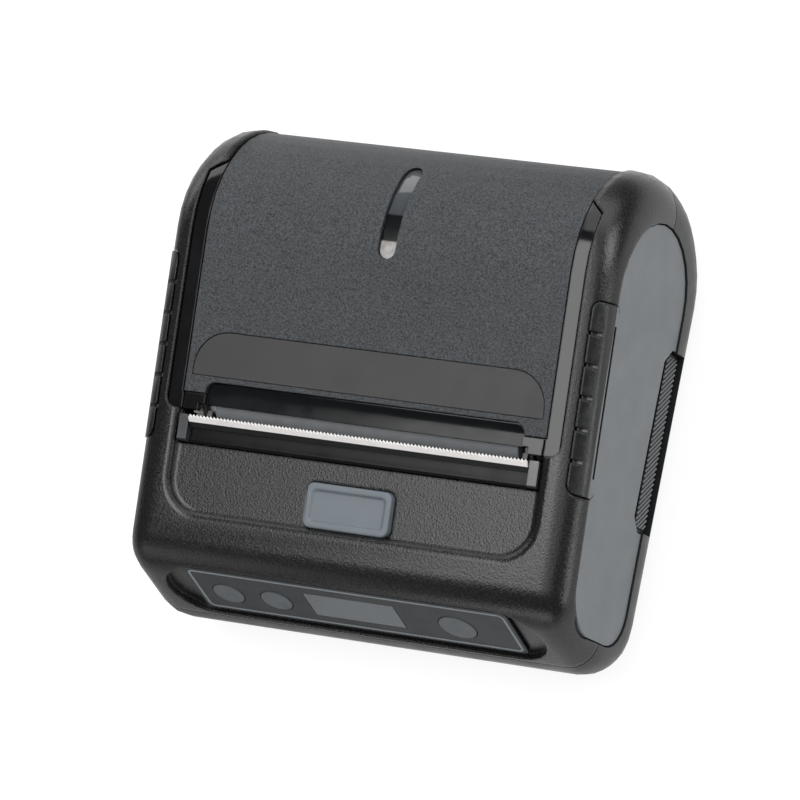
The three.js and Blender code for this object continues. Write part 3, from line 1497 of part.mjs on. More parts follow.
function bayOutline(radius) {
  return [
    point(bayY - radius, bayZ + bayFrontRise), ...arc(bayY, bayZ, radius, Math.PI, 2 * Math.PI, 18),
    point(bayY + radius, bayZ + bayBackRise),
  ];
}

function paperBay() {
  const outer = bayRadius + bayWall;
  const trough = cut(profile(bayOutline(outer), -bayHalfWidth - bayWall, bayHalfWidth + bayWall),
    profile([
      ...bayOutline(bayRadius), point(bayY + bayRadius, roomHeight), point(bayY - bayRadius, roomHeight),
    ], -bayHalfWidth, bayHalfWidth));
  return cut(trough, barrelRoom(barrelGap));
}

function rearBayRoom() {
  const half = bayHalfWidth + bayWall + fitGap;
  return profile(bayOutline(bayRadius + bayWall + fitGap), -half, half);
}

function sensorBlock(gap) {
  return block(sensorX - gap, sensorX + sensorLength + gap, sensorY - gap, sensorY + sensorWidth + gap,
    guideZ - sensorDepth, guideZ + guideThickness);
}

// Battery, main board and sockets

function contactSpots() {
  return [-1.5, -0.5, 0.5, 1.5].map((share) => share * contactPitch);
}

function contactSlots() {
  const front = batteryFrontY - batteryGap - compartmentWall - cutOverrun;
  const half = contactWidth / 2 + pinGap;
  return join(...contactSpots().map((x) => block(x - half, x + half, front, batteryFrontY,
    contactHeight - pinGap, 2 * contactHeight + pinGap)));
}

function batteryPack() {
  const corners = [batteryCorner, batteryCorner, batteryCorner, batteryCorner];
  const footprint = roundedRectangle(-batteryHalfWidth, batteryHalfWidth, batteryFrontY, batteryBackY,
    corners);
  const body = plate(footprint, batterySink, batteryTopZ);
  const notch = block(-fingerNotchWidth / 2, fingerNotchWidth / 2, batteryBackY - fingerNotchDepth,
    batteryBackY + cutOverrun, 0, batterySink + fingerNotchHeight);
  return cut(body, notch);
}

// Contact carrier in front of the compartment, its four blades reaching through the wall
function batteryConnector() {
  const wallFront = batteryFrontY - batteryGap - compartmentWall - fitGap;
  const half = 2 * contactPitch;
  const blades = contactSpots().map((x) => block(x - contactWidth / 2, x + contactWidth / 2,
    wallFront - contactBody / 2, batteryFrontY - pinGap, contactHeight, 2 * contactHeight));
  const body = block(-half, half, wallFront - contactBody, wallFront,
    caseWall + fitGap, 2 * contactHeight + contactBody);
  return join(body, ...blades);
}

function mainBoard() {
  const points = [
    point(boardLeftX, boardFrontY), point(boardRightX, boardFrontY), point(boardRightX, boardBackY),
    point(boardTabX, boardBackY), point(boardTabX, boardTabBackY), point(boardLeftX, boardTabBackY),
  ];
  return plate(points, boardZ, boardTopZ);
}

// A chip on the board's top, placed by shares of the board's length
function boardChip(share, sizeShare) {
  const length = boardRightX - boardLeftX;
  const x = boardLeftX + share * length;
  const half = sizeShare * length / 2;
  const middle = (boardFrontY + boardBackY) / 2;
  return block(x - half, x + half, middle - half, middle + half, boardTopZ, boardTopZ + chipRise);
}

function usbSocket() {
  const left = -socketFaceX;
  const half = usbWidth / 2;
  const inner = half - usbWall;
  const tongueHalf = half - 3 * usbTongue;
  const tongueZ = boardTopZ + (usbHeight - usbTongue) / 2;
  const shell = block(left, left + usbDepth, usbY - half, usbY + half, boardTopZ, boardTopZ + usbHeight);
  const hollow = block(left - cutOverrun, left + usbDepth - usbWall, usbY - inner, usbY + inner,
    boardTopZ + usbWall, boardTopZ + usbHeight - usbWall);
  const tongue = block(left + usbWall, left + usbDepth, usbY - tongueHalf, usbY + tongueHalf,
    tongueZ, tongueZ + usbTongue);
  return join(cut(shell, hollow), tongue);
}

function chargingSocket() {
  const left = -socketFaceX;
  const half = jackWidth / 2;
  const z = boardTopZ + jackHeight / 2;
  const body = block(left, left + jackDepth, jackY - half, jackY + half, boardTopZ, boardTopZ + jackHeight);
  return cut(body, rodAlongX(jackY, z, jackBoreRadius, left - cutOverrun, left + jackBoreDepth));
}

// Case screws

function caseScrew(y) {
  const head = screwHeadZ - fitGap;
  return join(
    rodAlongZ(screwPostX, y, screwHeadRadius, head - screwHeadHeight, head, smallSides),
    rodAlongZ(screwPostX, y, screwRadius, head - screwHeadHeight / 2, splitZ(y) + screwTopRise, smallSides),
  );
}

function hingePin() {
  const end = earInnerX + earThickness;
  return rodAlongX(0, 0, hingePinRadius, -end, end, smallSides);
}

// The printer as a scene

const printer = new THREE.Group();

function add(name, body, material, place) {
  printer.add(meshOf(name, body, material, place));
}

function addPair(name, body, material, place) {
  add(`${name}_right`, body, material, place);
  add(`${name}_left`, mirrored(body), material, place);
}

function at(y, z) {
  return new THREE.Matrix4().makeTranslation(0, y, z);
}

add('front_case', frontCase(), grainedBlack);
add('rear_case', rearCase(), satinBlack);
add('side_panel_right', sidePanel(), satinGrey);
add('side_panel_left', cut(mirrored(sidePanel()), socketHoles()), satinGrey);
addPair('front_grip', frontGrip(), gripRubber);
addPair('rear_grip', rearGrip(), gripRubber);
addPair('front_screw', caseScrew(frontScrewY), sheetSteel);
addPair('rear_screw', caseScrew(rearScrewY), sheetSteel);

add('lid_cover', lidCover(), coverBlack);
add('lid_frame', lidFrame(), glossBlack);
add('name_band', nameBand(), bandGrey);
add('paper_window', paperWindow(), glossBlack);
add('hinge_pin', hingePin(), sheetSteel, at(hingeY, hingeZ));

add('control_overlay', controlOverlay(), satinBlack, panelPlace);
add('display_window', displayWindow(), windowGrey, panelPlace);
add('display_module', displayModule(), chipBlack, panelPlace);
for (const [name, x, radius] of keys) {
  const spot = panelPlace.clone().multiply(new THREE.Matrix4().makeTranslation(x, keyLineP, 0));
  add(name, keyCap(radius), keyGrey, spot);
}
const [leftSpot, rightSpot] = keyBoardSpots();
add('key_board', keyBoard(), boardGreen, panelPlace);
add('dome_film', keyDomes(), sheetSteel, panelPlace);
add('key_board_screw_left', keyBoardScrew(leftSpot), sheetSteel, panelPlace);
add('key_board_screw_right', keyBoardScrew(rightSpot), sheetSteel, panelPlace);

add('open_button', openButton(), buttonGrey, buttonPlace);
add('button_spring', buttonSpring(), sheetSteel);
add('latch_lever', latchLever(), sheetSteel);

add('mechanism_frame', mechanismFrame(), sheetSteel);
addPair('frame_screw', frameScrew(), sheetSteel);
add('head_heat_sink', headHeatSink(), aluminium);
add('head_ceramic', headCeramic(), ceramicWhite);
add('head_pivot_pin', headPivotPin(), sheetSteel);
addPair('head_spring', headSpring(), sheetSteel);
add('tear_bar_holder', tearBarHolder(), glossBlack);
add('tear_bar', tearBar(), brightSteel, tearBarPlace());

const idler = idlerSpot();
const motor = motorSpot();
const idlerPhase = meshedPhase(idlerBearing, 0, platenTeeth, idlerTeeth);
const pinionPhase = meshedPhase(motorBearing, idlerPhase, idlerTeeth, pinionTeeth);
add('platen_roller', platenRoller(), platenGrey, at(platenY, platenZ));
add('platen_shaft', platenShaft(), brightSteel, at(platenY, platenZ));
addPair('platen_bushing', platenBushing(), whitePlastic, at(platenY, platenZ));
add('platen_gear', gear(platenTeeth, shaftRadius, 0), whitePlastic, at(platenY, platenZ));
add('idler_gear', gear(idlerTeeth, gearPostRadius, idlerPhase), whitePlastic, at(idler.x, idler.y));
add('motor_pinion', gear(pinionTeeth, motorShaftRadius, pinionPhase), brass, at(motor.x, motor.y));
add('motor_shaft', motorShaft(), sheetSteel);
add('drive_motor', driveMotor(), sheetSteel);
add('gear_post', gearPost(), sheetSteel);

add('paper_bay', paperBay(), satinBlack);
add('paper_sensor', sensorBlock(0), chipBlack);

add('battery_pack', batteryPack(), satinBlack);
add('battery_connector', batteryConnector(), brass);
add('main_board', mainBoard(), boardGreen);
add('processor_chip', boardChip(processorShare, processorSizeShare), chipBlack);
add('driver_chip', boardChip(driverShare, driverSizeShare), chipBlack);
add('usb_socket', usbSocket(), sheetSteel);
add('charging_socket', chargingSocket(), chipBlack);

const ends = new THREE.Box2().setFromPoints(outline);
printer.position.y = -(ends.min.x + ends.max.x) / 2;

export default printer;
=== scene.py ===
"""Hand-held thermal receipt printer lying on its back, in metres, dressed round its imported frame."""
import json
from math import cos, pi, radians, sin

import bmesh
import bpy
import numpy as np
from mathutils import Matrix, Vector
from mathutils.kdtree import KDTree


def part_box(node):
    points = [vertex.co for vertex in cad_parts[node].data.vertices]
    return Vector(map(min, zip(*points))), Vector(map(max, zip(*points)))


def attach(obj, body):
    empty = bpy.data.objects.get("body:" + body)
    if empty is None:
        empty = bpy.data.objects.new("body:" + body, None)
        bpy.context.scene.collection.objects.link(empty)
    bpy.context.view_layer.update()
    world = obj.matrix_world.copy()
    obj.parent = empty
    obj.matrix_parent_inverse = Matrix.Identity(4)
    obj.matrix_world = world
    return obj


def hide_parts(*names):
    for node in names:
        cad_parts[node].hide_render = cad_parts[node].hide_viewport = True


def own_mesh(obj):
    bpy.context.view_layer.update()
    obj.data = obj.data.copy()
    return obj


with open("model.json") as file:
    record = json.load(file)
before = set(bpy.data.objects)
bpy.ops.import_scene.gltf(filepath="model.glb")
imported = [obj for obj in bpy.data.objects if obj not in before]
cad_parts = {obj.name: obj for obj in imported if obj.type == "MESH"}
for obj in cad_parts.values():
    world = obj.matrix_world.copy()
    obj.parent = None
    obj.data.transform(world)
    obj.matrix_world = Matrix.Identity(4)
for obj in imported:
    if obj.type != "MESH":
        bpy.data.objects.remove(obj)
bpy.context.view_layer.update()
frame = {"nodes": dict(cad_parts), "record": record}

MM = 0.001
NODES = frame["nodes"]
BODIES = frame["record"]["behaviour"]["bodies"]
BODY_OF = {node: body for body, members in BODIES.items() for node in members}
SLOT_OF = {row["node"]: row["material_slot"] for row in frame["record"]["subparts"]}
scene = bpy.context.scene


# ---------------------------------------------------------------- materials

class Shader:
    """A node material built up step by step on one Principled shader.

    edge is how far the shading rounds every edge, in millimetres.
    """

    def __init__(self, name, colour, roughness, metallic=0.0, specular=0.5, edge=0.0):
        self.material = bpy.data.materials.new(name)
        self.material.use_nodes = True
        self.tree = self.material.node_tree
        self.shader = self.tree.nodes["Principled BSDF"]
        self.roughness = roughness
        self.set("Base Color", (*colour, 1.0))
        self.set("Roughness", roughness)
        self.set("Metallic", metallic)
        self.set("Specular IOR Level", specular)
        self.place = self.node("TexCoord").outputs["Object"]
        tone = self.node("RGB")
        tone.outputs[0].default_value = (*colour, 1.0)
        self.tone = tone.outputs[0]
        self.normal = None
        if edge:
            rounding = self.node("Bevel", samples=4)
            rounding.inputs["Radius"].default_value = edge * MM
            self.normal = rounding.outputs["Normal"]
            self.link(self.normal, self.shader.inputs["Normal"])

    def set(self, socket, value):
        self.shader.inputs[socket].default_value = value

    def node(self, kind, **settings):
        made = self.tree.nodes.new("ShaderNode" + kind)
        for key, value in settings.items():
            setattr(made, key, value)
        return made

    def link(self, source, target):
        self.tree.links.new(source, target)

    def stretched(self, scale):
        """The place scaled along each axis."""
        mapping = self.node("Mapping")
        mapping.inputs["Scale"].default_value = scale
        self.link(self.place, mapping.inputs["Vector"])
        return mapping.outputs["Vector"]

    def noise(self, cell, detail=2.0, stretch=None, roughness=0.5):
        """Noise whose features are about cell millimetres across."""
        made = self.node("TexNoise")
        made.inputs["Scale"].default_value = 1 / (cell * MM)
        made.inputs["Detail"].default_value = detail
        made.inputs["Roughness"].default_value = roughness
        self.link(self.stretched(stretch) if stretch else self.place, made.inputs["Vector"])
        return made.outputs["Fac"]

    def ranged(self, value, low, high, from_low=0.3, from_high=0.7):
        """The value spread from one range, by default that of most noise, to another."""
        made = self.node("MapRange")
        made.inputs["From Min"].default_value = from_low
        made.inputs["From Max"].default_value = from_high
        made.inputs["To Min"].default_value = low
        made.inputs["To Max"].default_value = high
        self.link(value, made.inputs["Value"])
        return made.outputs["Result"]

    def mottled(self, value, spread):
        """The colour darker and lighter by a share with the given value."""
        scaled = self.node("VectorMath", operation="SCALE")
        self.link(self.tone, scaled.inputs[0])
        self.link(self.ranged(value, 1 - spread, 1 + spread), scaled.inputs["Scale"])
        self.tone = scaled.outputs[0]
        self.link(self.tone, self.shader.inputs["Base Color"])
        return self

    def zoned(self, axis, stops):
        """Colours along one axis of the object; a stop without a colour keeps the tone so far."""
        parts = self.node("SeparateXYZ")
        self.link(self.place, parts.inputs[0])
        tone = None
        for place, colour in stops:
            given = self.tone
            if colour:
                given = self.node("RGB").outputs[0]
                given.default_value = (*colour, 1.0)
            if tone is None:
                tone, last = given, place
                continue
            mix = self.node("MixRGB")
            self.link(self.ranged(parts.outputs[axis], 0, 1, last, place), mix.inputs["Fac"])
            self.link(tone, mix.inputs["Color1"])
            self.link(given, mix.inputs["Color2"])
            tone, last = mix.outputs[0], place
        self.tone = tone
        self.link(tone, self.shader.inputs["Base Color"])
        return self

    def math(self, operation, first, second=0.0):
        made = self.node("Math", operation=operation)
        for socket, value in zip(made.inputs, (first, second)):
            if isinstance(value, (int, float)):
                socket.default_value = value
            else:
                self.link(value, socket)
        return made.outputs[0]

    def rolled_edge(self, half_width, front, corner, outside, inside):
        """Height in millimetres that rolls over the edge of a pocket with rounded front corners.

        outside and inside are the reach and the drop of the roll on either side of the edge, in metres.
        """
        parts = self.node("SeparateXYZ")
        self.link(self.place, parts.inputs[0])
        across = self.math("SUBTRACT", self.math("ABSOLUTE", parts.outputs["X"]), half_width - corner)
        along = self.math("SUBTRACT", front + corner, parts.outputs["Y"])
        beyond = self.math("SQRT", self.math(
            "ADD", self.math("POWER", self.math("MAXIMUM", across, 0.0), 2.0),
            self.math("POWER", self.math("MAXIMUM", along, 0.0), 2.0)))
        within = self.math("MINIMUM", self.math("MAXIMUM", across, along), 0.0)
        distance = self.math("SUBTRACT", self.math("ADD", beyond, within), corner)
        (outer_reach, outer_drop), (inner_reach, inner_drop) = outside, inside
        rise = self.math("POWER", self.ranged(distance, 1, 0, 0, outer_reach), 2.0)
        fall = self.math("POWER", self.ranged(distance, 0, 1, -inner_reach, 0), 2.0)
        outer = self.math("MULTIPLY", self.math("SUBTRACT", 1.0, rise), outer_drop / MM)
        inner = self.math("MULTIPLY", self.math("SUBTRACT", fall, 1.0), inner_drop / MM)
        return self.math("ADD", outer, inner)

    def worn(self, value, spread):
        """Roughness a little lower and higher with the given value."""
        low, high = max(self.roughness - spread, 0.02), self.roughness + spread
        self.link(self.ranged(value, low, high), self.shader.inputs["Roughness"])
        return self

    def bumped(self, value, depth):
        """Relief of depth millimetres, on top of any relief given before."""
        bump = self.node("Bump")
        bump.inputs["Distance"].default_value = depth * MM
        self.link(value, bump.inputs["Height"])
        if self.normal:
            self.link(self.normal, bump.inputs["Normal"])
        self.normal = bump.outputs["Normal"]
        self.link(self.normal, self.shader.inputs["Normal"])
        return self


# The lines of brushed metal: stretches of the noise that draws them, its cell and its wear
ALONG_X = (0.02, 1.0, 1.0)
EVEN = (1.0, 1.0, 1.0)
LINE_CELL = 0.12
LINE_WEAR = 0.06


def grained(name, colour, roughness, cell, depth, specular, contrast, edge, pocket=None):
    """Moulded plastic with an etched grain, and the rolled edge of a pocket where one is given."""
    made = Shader(name, colour, roughness, specular=specular, edge=edge)
    grain = made.noise(cell, detail=2.0, roughness=0.65)
    made.mottled(made.noise(cell=9.0, detail=3.0), spread=0.05)
    made.mottled(grain, contrast)
    made.worn(grain, spread=0.06)
    if pocket:
        made.bumped(made.rolled_edge(**pocket), depth=1.0)
    return made.bumped(grain, depth).material


def smooth(name, colour, roughness, specular=0.5, grain=0.0, edge=0.2):
    """Moulded plastic that is a little uneven, as mouldings are, with hardly any grain."""
    made = Shader(name, colour, roughness, specular=specular, edge=edge)
    made.mottled(made.noise(cell=14.0, detail=3.0), spread=0.05)
    made.worn(made.noise(cell=6.0, detail=4.0), spread=min(0.05, roughness * 0.3))
    made.bumped(made.noise(cell=7.0, detail=1.0), depth=0.004)
    if grain:
        made.bumped(made.noise(cell=0.18, detail=2.0), depth=grain)
    return made.material


def brushed(name, colour, roughness, stretch, metallic=1.0):
    """Metal with fine lines, along one axis or every way."""
    made = Shader(name, colour, roughness, metallic=metallic, edge=0.1)
    made.mottled(made.noise(cell=5.0, detail=4.0), spread=0.07)
    lines = made.noise(LINE_CELL, stretch=stretch)
    made.worn(lines, LINE_WEAR)
    return made.bumped(lines, depth=0.002).material


def rubbery(name, colour, roughness, cell=0.25, depth=0.012, specular=0.35, edge=0.25):
    """Rubber with a fine uneven skin."""
    made = Shader(name, colour, roughness, specular=specular, edge=edge)
    made.mottled(made.noise(cell=3.5, detail=4.0), spread=0.08)
    made.worn(made.noise(cell=2.0, detail=3.0), spread=0.06)
    return made.bumped(made.noise(cell, detail=3.0), depth).material


def ground_edge(name, start):
    """Steel strip, bright where it is ground towards the teeth and painted near black before start."""
    bright, near_black, blend = (0.86, 0.83, 0.81), (0.006, 0.006, 0.006), 0.05 * MM
    made = Shader(name, bright, roughness=0.4, metallic=0.3, edge=0.1)
    made.mottled(made.noise(cell=5.0, detail=4.0), spread=0.05)
    # Painted near black in front of start
    made.zoned("Y", ((start - blend, near_black), (start, None)))
    lines = made.noise(LINE_CELL, stretch=ALONG_X)
    made.worn(lines, LINE_WEAR)
    return made.bumped(lines, depth=0.002).material


def window_with_painted_reflections(name, front, back):
    """Dark window painted with reflections: a painted highlight at its front end, a band of painted
    dark reflection, then painted grey reflection that grows paler towards the roll.
    """
    # clear is the painted highlight at the front end, black the painted dark reflection after it
    clear, black = (0.29, 0.28, 0.27), (0.004, 0.0045, 0.005)
    painted_grey_reflection, painted_pale_reflection = (0.045, 0.05, 0.054), (0.075, 0.08, 0.085)
    made = Shader(name, clear, roughness=0.07, edge=0.35)
    made.mottled(made.noise(cell=1.6), spread=0.25)
    # Shares of the length from the front: painted highlight, painted dark reflection, then painted grey
    # reflection
    shares = ((0.17, None), (0.19, black), (0.45, black), (0.47, painted_grey_reflection), (0.9, painted_pale_reflection))
    made.zoned("Y", [(front + share * (back - front), colour) for share, colour in shares])
    return made.bumped(made.noise(cell=4.0, detail=1.0), depth=0.006).material


def ribbed_with_painted_light(name, box):
    """Ribbed rubber, with a painted highlight on the crests of the ribs and painted shade between them
    and on the margin round them.
    """
    # Painted shade deep in the ribs and a painted highlight near their crests, set by depth under the
    # crests
    painted_shade, painted_shade_below = (0.004, 0.0045, 0.005), 0.42 * MM
    painted_highlight, painted_highlight_above = (0.15, 0.155, 0.16), 0.22 * MM
    made = Shader(name, painted_shade, roughness=0.4, specular=0.3, edge=0.05)
    crest = max(abs(corner.x) for corner in box)
    stops = [(crest - painted_shade_below, None), (crest - painted_highlight_above, painted_highlight)]
    if box[0].x < 0:
        stops = [(-place, colour) for place, colour in reversed(stops)]
    made.zoned("X", stops)
    made.worn(made.noise(cell=2.0, detail=3.0), spread=0.06)
    return made.bumped(made.noise(cell=0.25, detail=3.0), depth=0.008).material


POCKET_EDGE = {
    "half_width": 45.2 * MM, "front": -35.24 * MM, "corner": 8 * MM,
    "outside": (1.9 * MM, 0.8 * MM), "inside": (1.3 * MM, 0.4 * MM),
}
# One look for each material slot of the record, then the looks of single nodes and of parts of them
LOOKS = {
    "grained_black": grained(
        "case_grain", (0.0085, 0.0085, 0.0088), roughness=0.25, cell=0.48, depth=0.065,
        specular=0.5, contrast=0.4, edge=0.8, pocket=POCKET_EDGE),
    "cover_black": grained(
        "cover_grain", (0.03, 0.0335, 0.037), roughness=0.5, cell=0.42, depth=0.15,
        specular=0.38, contrast=1.0, edge=0.3),
    "gloss_black": smooth(
        "gloss_black", (0.004, 0.004, 0.0045), roughness=0.1, specular=0.43, grain=0.001, edge=0.35),
    "satin_black": smooth(
        "satin_black", (0.018, 0.019, 0.0195), roughness=0.38, specular=0.35, grain=0.006, edge=0.3),
    "satin_grey": smooth("satin_grey", (0.102, 0.112, 0.118), roughness=0.42, grain=0.005),
    "grip_rubber": rubbery(
        "grip_rubber", (0.0075, 0.008, 0.0085), roughness=0.26, depth=0.03, specular=0.55, edge=0.6),
    "band_grey": smooth(
        "band_grey", (0.028, 0.027, 0.028), roughness=0.42, specular=0.36, grain=0.008, edge=0.15),
    "key_grey": rubbery("key_grey", (0.082, 0.092, 0.099), roughness=0.5, depth=0.005, edge=0.15),
    "button_grey": smooth(
        "button_grey", (0.115, 0.135, 0.15), roughness=0.38, specular=0.4, grain=0.006, edge=0.5),
    "window_grey": smooth(
        "window_grey", (0.095, 0.106, 0.116), roughness=0.25, specular=0.35, edge=0.1),
    "platen_grey": rubbery("platen_grey", (0.17, 0.18, 0.187), roughness=0.5, cell=0.12, depth=0.008),
    "bright_steel": brushed(
        "bright_steel", (0.82, 0.79, 0.77), roughness=0.42, stretch=ALONG_X, metallic=0.3),
    "sheet_steel": brushed("sheet_steel", (0.42, 0.43, 0.44), roughness=0.36, stretch=EVEN),
    "aluminium": brushed("aluminium", (0.66, 0.67, 0.68), roughness=0.4, stretch=ALONG_X),
    "ceramic_white": smooth("ceramic_white", (0.62, 0.58, 0.5), roughness=0.25),
    "white_plastic": smooth("white_plastic", (0.62, 0.61, 0.57), roughness=0.42, grain=0.004),
    "board_green": smooth("board_green", (0.012, 0.085, 0.04), roughness=0.3, grain=0.004),
    "chip_black": smooth("chip_black", (0.02, 0.021, 0.022), roughness=0.45, grain=0.01),
    "brass": brushed("brass", (0.66, 0.46, 0.17), roughness=0.32, stretch=EVEN),
}
# Width of the tear bar painted near black from its front edge
NEAR_BLACK_WIDTH = 1.05  # of the tear bar, in millimetres
OWN_LOOKS = {
    "control_overlay": smooth(
        "overlay_film", (0.022, 0.025, 0.027), roughness=0.35, specular=0.18, grain=0.004, edge=0.1),
    "tear_bar_holder": smooth(
        "end_piece_grey", (0.03, 0.031, 0.033), roughness=0.22, specular=0.7, grain=0.003),
    "tear_bar": ground_edge("ground_edge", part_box("tear_bar")[0].y + NEAR_BLACK_WIDTH * MM),
    "paper_window": window_with_painted_reflections("window_with_painted_reflections", *(corner.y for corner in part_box("paper_window"))),
}
for node in ("latch_lever", "mechanism_frame"):
    OWN_LOOKS[node] = brushed(
        "blackened_" + node, (0.09, 0.09, 0.095), roughness=0.5, stretch=EVEN, metallic=0.6)
for side in ("left", "right"):
    OWN_LOOKS["rear_grip_" + side] = ribbed_with_painted_light("ribbed_" + side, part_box("rear_grip_" + side))
CHANNEL = smooth("channel_black", (0.006, 0.006, 0.006), roughness=0.2, specular=0.16)
LIP = smooth("lip_black", (0.005, 0.0055, 0.0062), roughness=0.12, specular=0.26)
RING = smooth("ring_grey", (0.16, 0.18, 0.19), roughness=0.4, specular=0.3, edge=0.0)


# ---------------------------------------------------------------- dressed pieces

# Sizes in millimetres, read off the photograph, of what the CAD solids leave out or make plainer.
# RIB_LEAN alone is a ratio: how far a rib runs forward to each millimetre that it rises.
EDGE_WIDTHS = {
    "open_button": 0.35, "feed_key": 0.1, "settings_key": 0.1, "power_key": 0.1,
    "control_overlay": 0.08, "platen_roller": 0.15, "platen_shaft": 0.15, "battery_pack": 0.3,
    "platen_bushing_right": 0.1, "platen_bushing_left": 0.1, "drive_motor": 0.2,
}
CHANNEL_HALF_LENGTH = 42.2
LIP_HALF_LENGTH = 41.0
FLANGE_X = 54.9
SLIT_WIDENING = 0.22
SLIT_END_LENGTH = 1.0
GRIP_CHAMFER = 3.12
RIB_END_MARGIN = 0.8
# The margins round the ribs take the painted shade too; the wider top one is a painted shadow under the
# side panel's edge
RIB_BOTTOM_MARGIN = 1.4
RIB_TOP_MARGIN = 2.3
RIB_DEPTH = 0.7
RIB_PITCH = 1.18
RIB_LEAN = 0.78
RIB_SINK = 0.05
OVERLAY_THICKNESS = 0.5
RING_INSET = 0.75
RING_WIDTH = 0.65
RING_CORNER = 1.6
RING_RISE = 0.05
RING_BEVEL = 0.03
RING_CLEARANCE = 0.01

# Shading: how far round a point, in millimetres, the faces that shade it as one round surface lie,
# the angles between faces that make one surface or a sharp edge, and the samples that are taken
FLOWING = {
    "front_case": 2.4, "rear_case": 2.4, "lid_cover": 2.4, "lid_frame": 2.0, "name_band": 2.4,
    "side_panel_right": 1.5, "side_panel_left": 1.5, "front_grip_right": 1.2, "front_grip_left": 1.2,
    "paper_window": 1.5,
}
ONE_SURFACE_ANGLE = 32
SHARP_ANGLE = 34
SAMPLE_SPACING = 0.7
SAMPLE_STEPS = (0.7548777, 0.5698403)


def new_piece(name, bm, body, look):
    """A piece made of the mesh, riding on a body."""
    mesh = bpy.data.meshes.new(name)
    bm.to_mesh(mesh)
    bm.free()
    mesh.materials.append(look)
    piece = bpy.data.objects.new(name, mesh)
    scene.collection.objects.link(piece)
    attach(piece, body)
    return piece


def solid_of(node):
    """The node's solid with its flat faces whole again."""
    bm = bmesh.new()
    bm.from_mesh(NODES[node].data)
    bmesh.ops.remove_doubles(bm, verts=bm.verts, dist=0.002 * MM)
    bmesh.ops.dissolve_limit(bm, angle_limit=radians(0.5), verts=bm.verts, edges=bm.edges)
    return bm


def soften(bm, width):
    """Rounds the sharp edges, which the CAD solid leaves square."""
    edges = [
        edge for edge in bm.edges
        if len(edge.link_faces) == 2 and edge.calc_face_angle(0.0) > radians(ONE_SURFACE_ANGLE)
    ]
    bmesh.ops.bevel(
        bm, geom=edges, offset=width * MM, offset_type="OFFSET", segments=2,
        profile=0.5, affect="EDGES", clamp_overlap=False, loop_slide=True,
    )


def finish_shading(piece):
    """Smooth shading between sharp edges."""
    mesh = piece.data
    mesh.shade_smooth()
    mesh.set_sharp_from_angle(angle=radians(SHARP_ANGLE))
    weigh = piece.modifiers.new("weighted_normals", "WEIGHTED_NORMAL")
    weigh.keep_sharp = True
    weigh.weight = 80


def surface_samples(mesh, spacing):
    """Points spread evenly over the faces, with the face normal and the area that each stands for."""
    mesh.calc_loop_triangles()
    count = len(mesh.loop_triangles)
    corners = np.empty(count * 3, np.int32)
    mesh.loop_triangles.foreach_get("vertices", corners)
    places = np.empty(len(mesh.vertices) * 3, np.float32)
    mesh.vertices.foreach_get("co", places)
    normals = np.empty(count * 3, np.float32)
    mesh.loop_triangles.foreach_get("normal", normals)
    areas = np.empty(count, np.float32)
    mesh.loop_triangles.foreach_get("area", areas)
    triangles = places.reshape(-1, 3)[corners.reshape(-1, 3)]
    shares = np.maximum(1, np.round(areas / spacing ** 2)).astype(int)
    which = np.repeat(np.arange(count), shares)
    step = np.arange(len(which)) - np.repeat(np.cumsum(shares) - shares, shares)
    u, v = ((0.5 + step * size) % 1.0 for size in SAMPLE_STEPS)
    folded = u + v > 1
    u, v = np.where(folded, 1 - u, u)[:, None], np.where(folded, 1 - v, v)[:, None]
    a, b, c = triangles[which, 0], triangles[which, 1], triangles[which, 2]
    return a + u * (b - a) + v * (c - a), normals.reshape(-1, 3)[which], (areas / shares)[which]


def flowing_normals(piece, reach):
    """Shades flat facets as the round surface that they stand for, over a reach in metres."""
    mesh = piece.data
    places, normals, weights = surface_samples(mesh, SAMPLE_SPACING * MM)
    tree = KDTree(len(places))
    for number, place in enumerate(places):
        tree.insert(place, number)
    tree.balance()
    loops_at = [[] for _ in mesh.vertices]
    faces = np.empty((len(mesh.loops), 3), np.float32)
    for face in mesh.polygons:
        for loop in face.loop_indices:
            faces[loop] = face.normal
            loops_at[mesh.loops[loop].vertex_index].append(loop)
    smoothed = faces.copy()
    for vertex, loops in zip(mesh.vertices, loops_at):
        near = tree.find_range(vertex.co, reach)
        if not near:
            continue
        numbers = np.fromiter((hit[1] for hit in near), np.int32)
        distances = np.fromiter((hit[2] for hit in near), np.float32)
        strengths = weights[numbers] * (1 - (distances / reach) ** 2) ** 2
        for loop in loops:
            alike = normals[numbers] @ faces[loop] > cos(radians(ONE_SURFACE_ANGLE))
            total = (normals[numbers][alike] * strengths[alike][:, None]).sum(0)
            size = np.linalg.norm(total)
            if size > 0:
                smoothed[loop] = total / size
    mesh.shade_smooth()
    mesh.normals_split_custom_set(smoothed.tolist())


def widen_slit(bm):
    """Moves the small end faces of the slit in a front grip's flange apart, each side by the same."""
    for face in bm.faces:
        if abs(face.normal.y) < 0.99 or face.calc_area() > (SLIT_END_LENGTH * MM) ** 2:
            continue
        middle = face.calc_center_median()
        for vertex in face.verts:
            vertex.co.z += SLIT_WIDENING * MM * (1 if vertex.co.z > middle.z else -1)


def softened_solid(node):
    """Mesh of a node's solid with rounded edges."""
    bm = solid_of(node)
    if node.startswith("front_grip"):
        widen_slit(bm)
    if node in EDGE_WIDTHS:
        soften(bm, EDGE_WIDTHS[node])
    return bm


def add_plate(bm, outline, inner, outer):
    """Closed plate over an outline of (y, z) points, from one x to another."""
    ends = [[bm.verts.new((x, y, z)) for y, z in outline] for x in (inner, outer)]
    for end in ends:
        bm.faces.new(end)
    for here in range(len(outline)):
        there = (here + 1) % len(outline)
        bm.faces.new((ends[0][here], ends[0][there], ends[1][there], ends[1][here]))


def clear_beyond(bm, place, outward):
    """Cuts off what lies beyond a plane."""
    geometry = bm.verts[:] + bm.edges[:] + bm.faces[:]
    bmesh.ops.bisect_plane(bm, geom=geometry, plane_co=place, plane_no=outward, clear_outer=True)


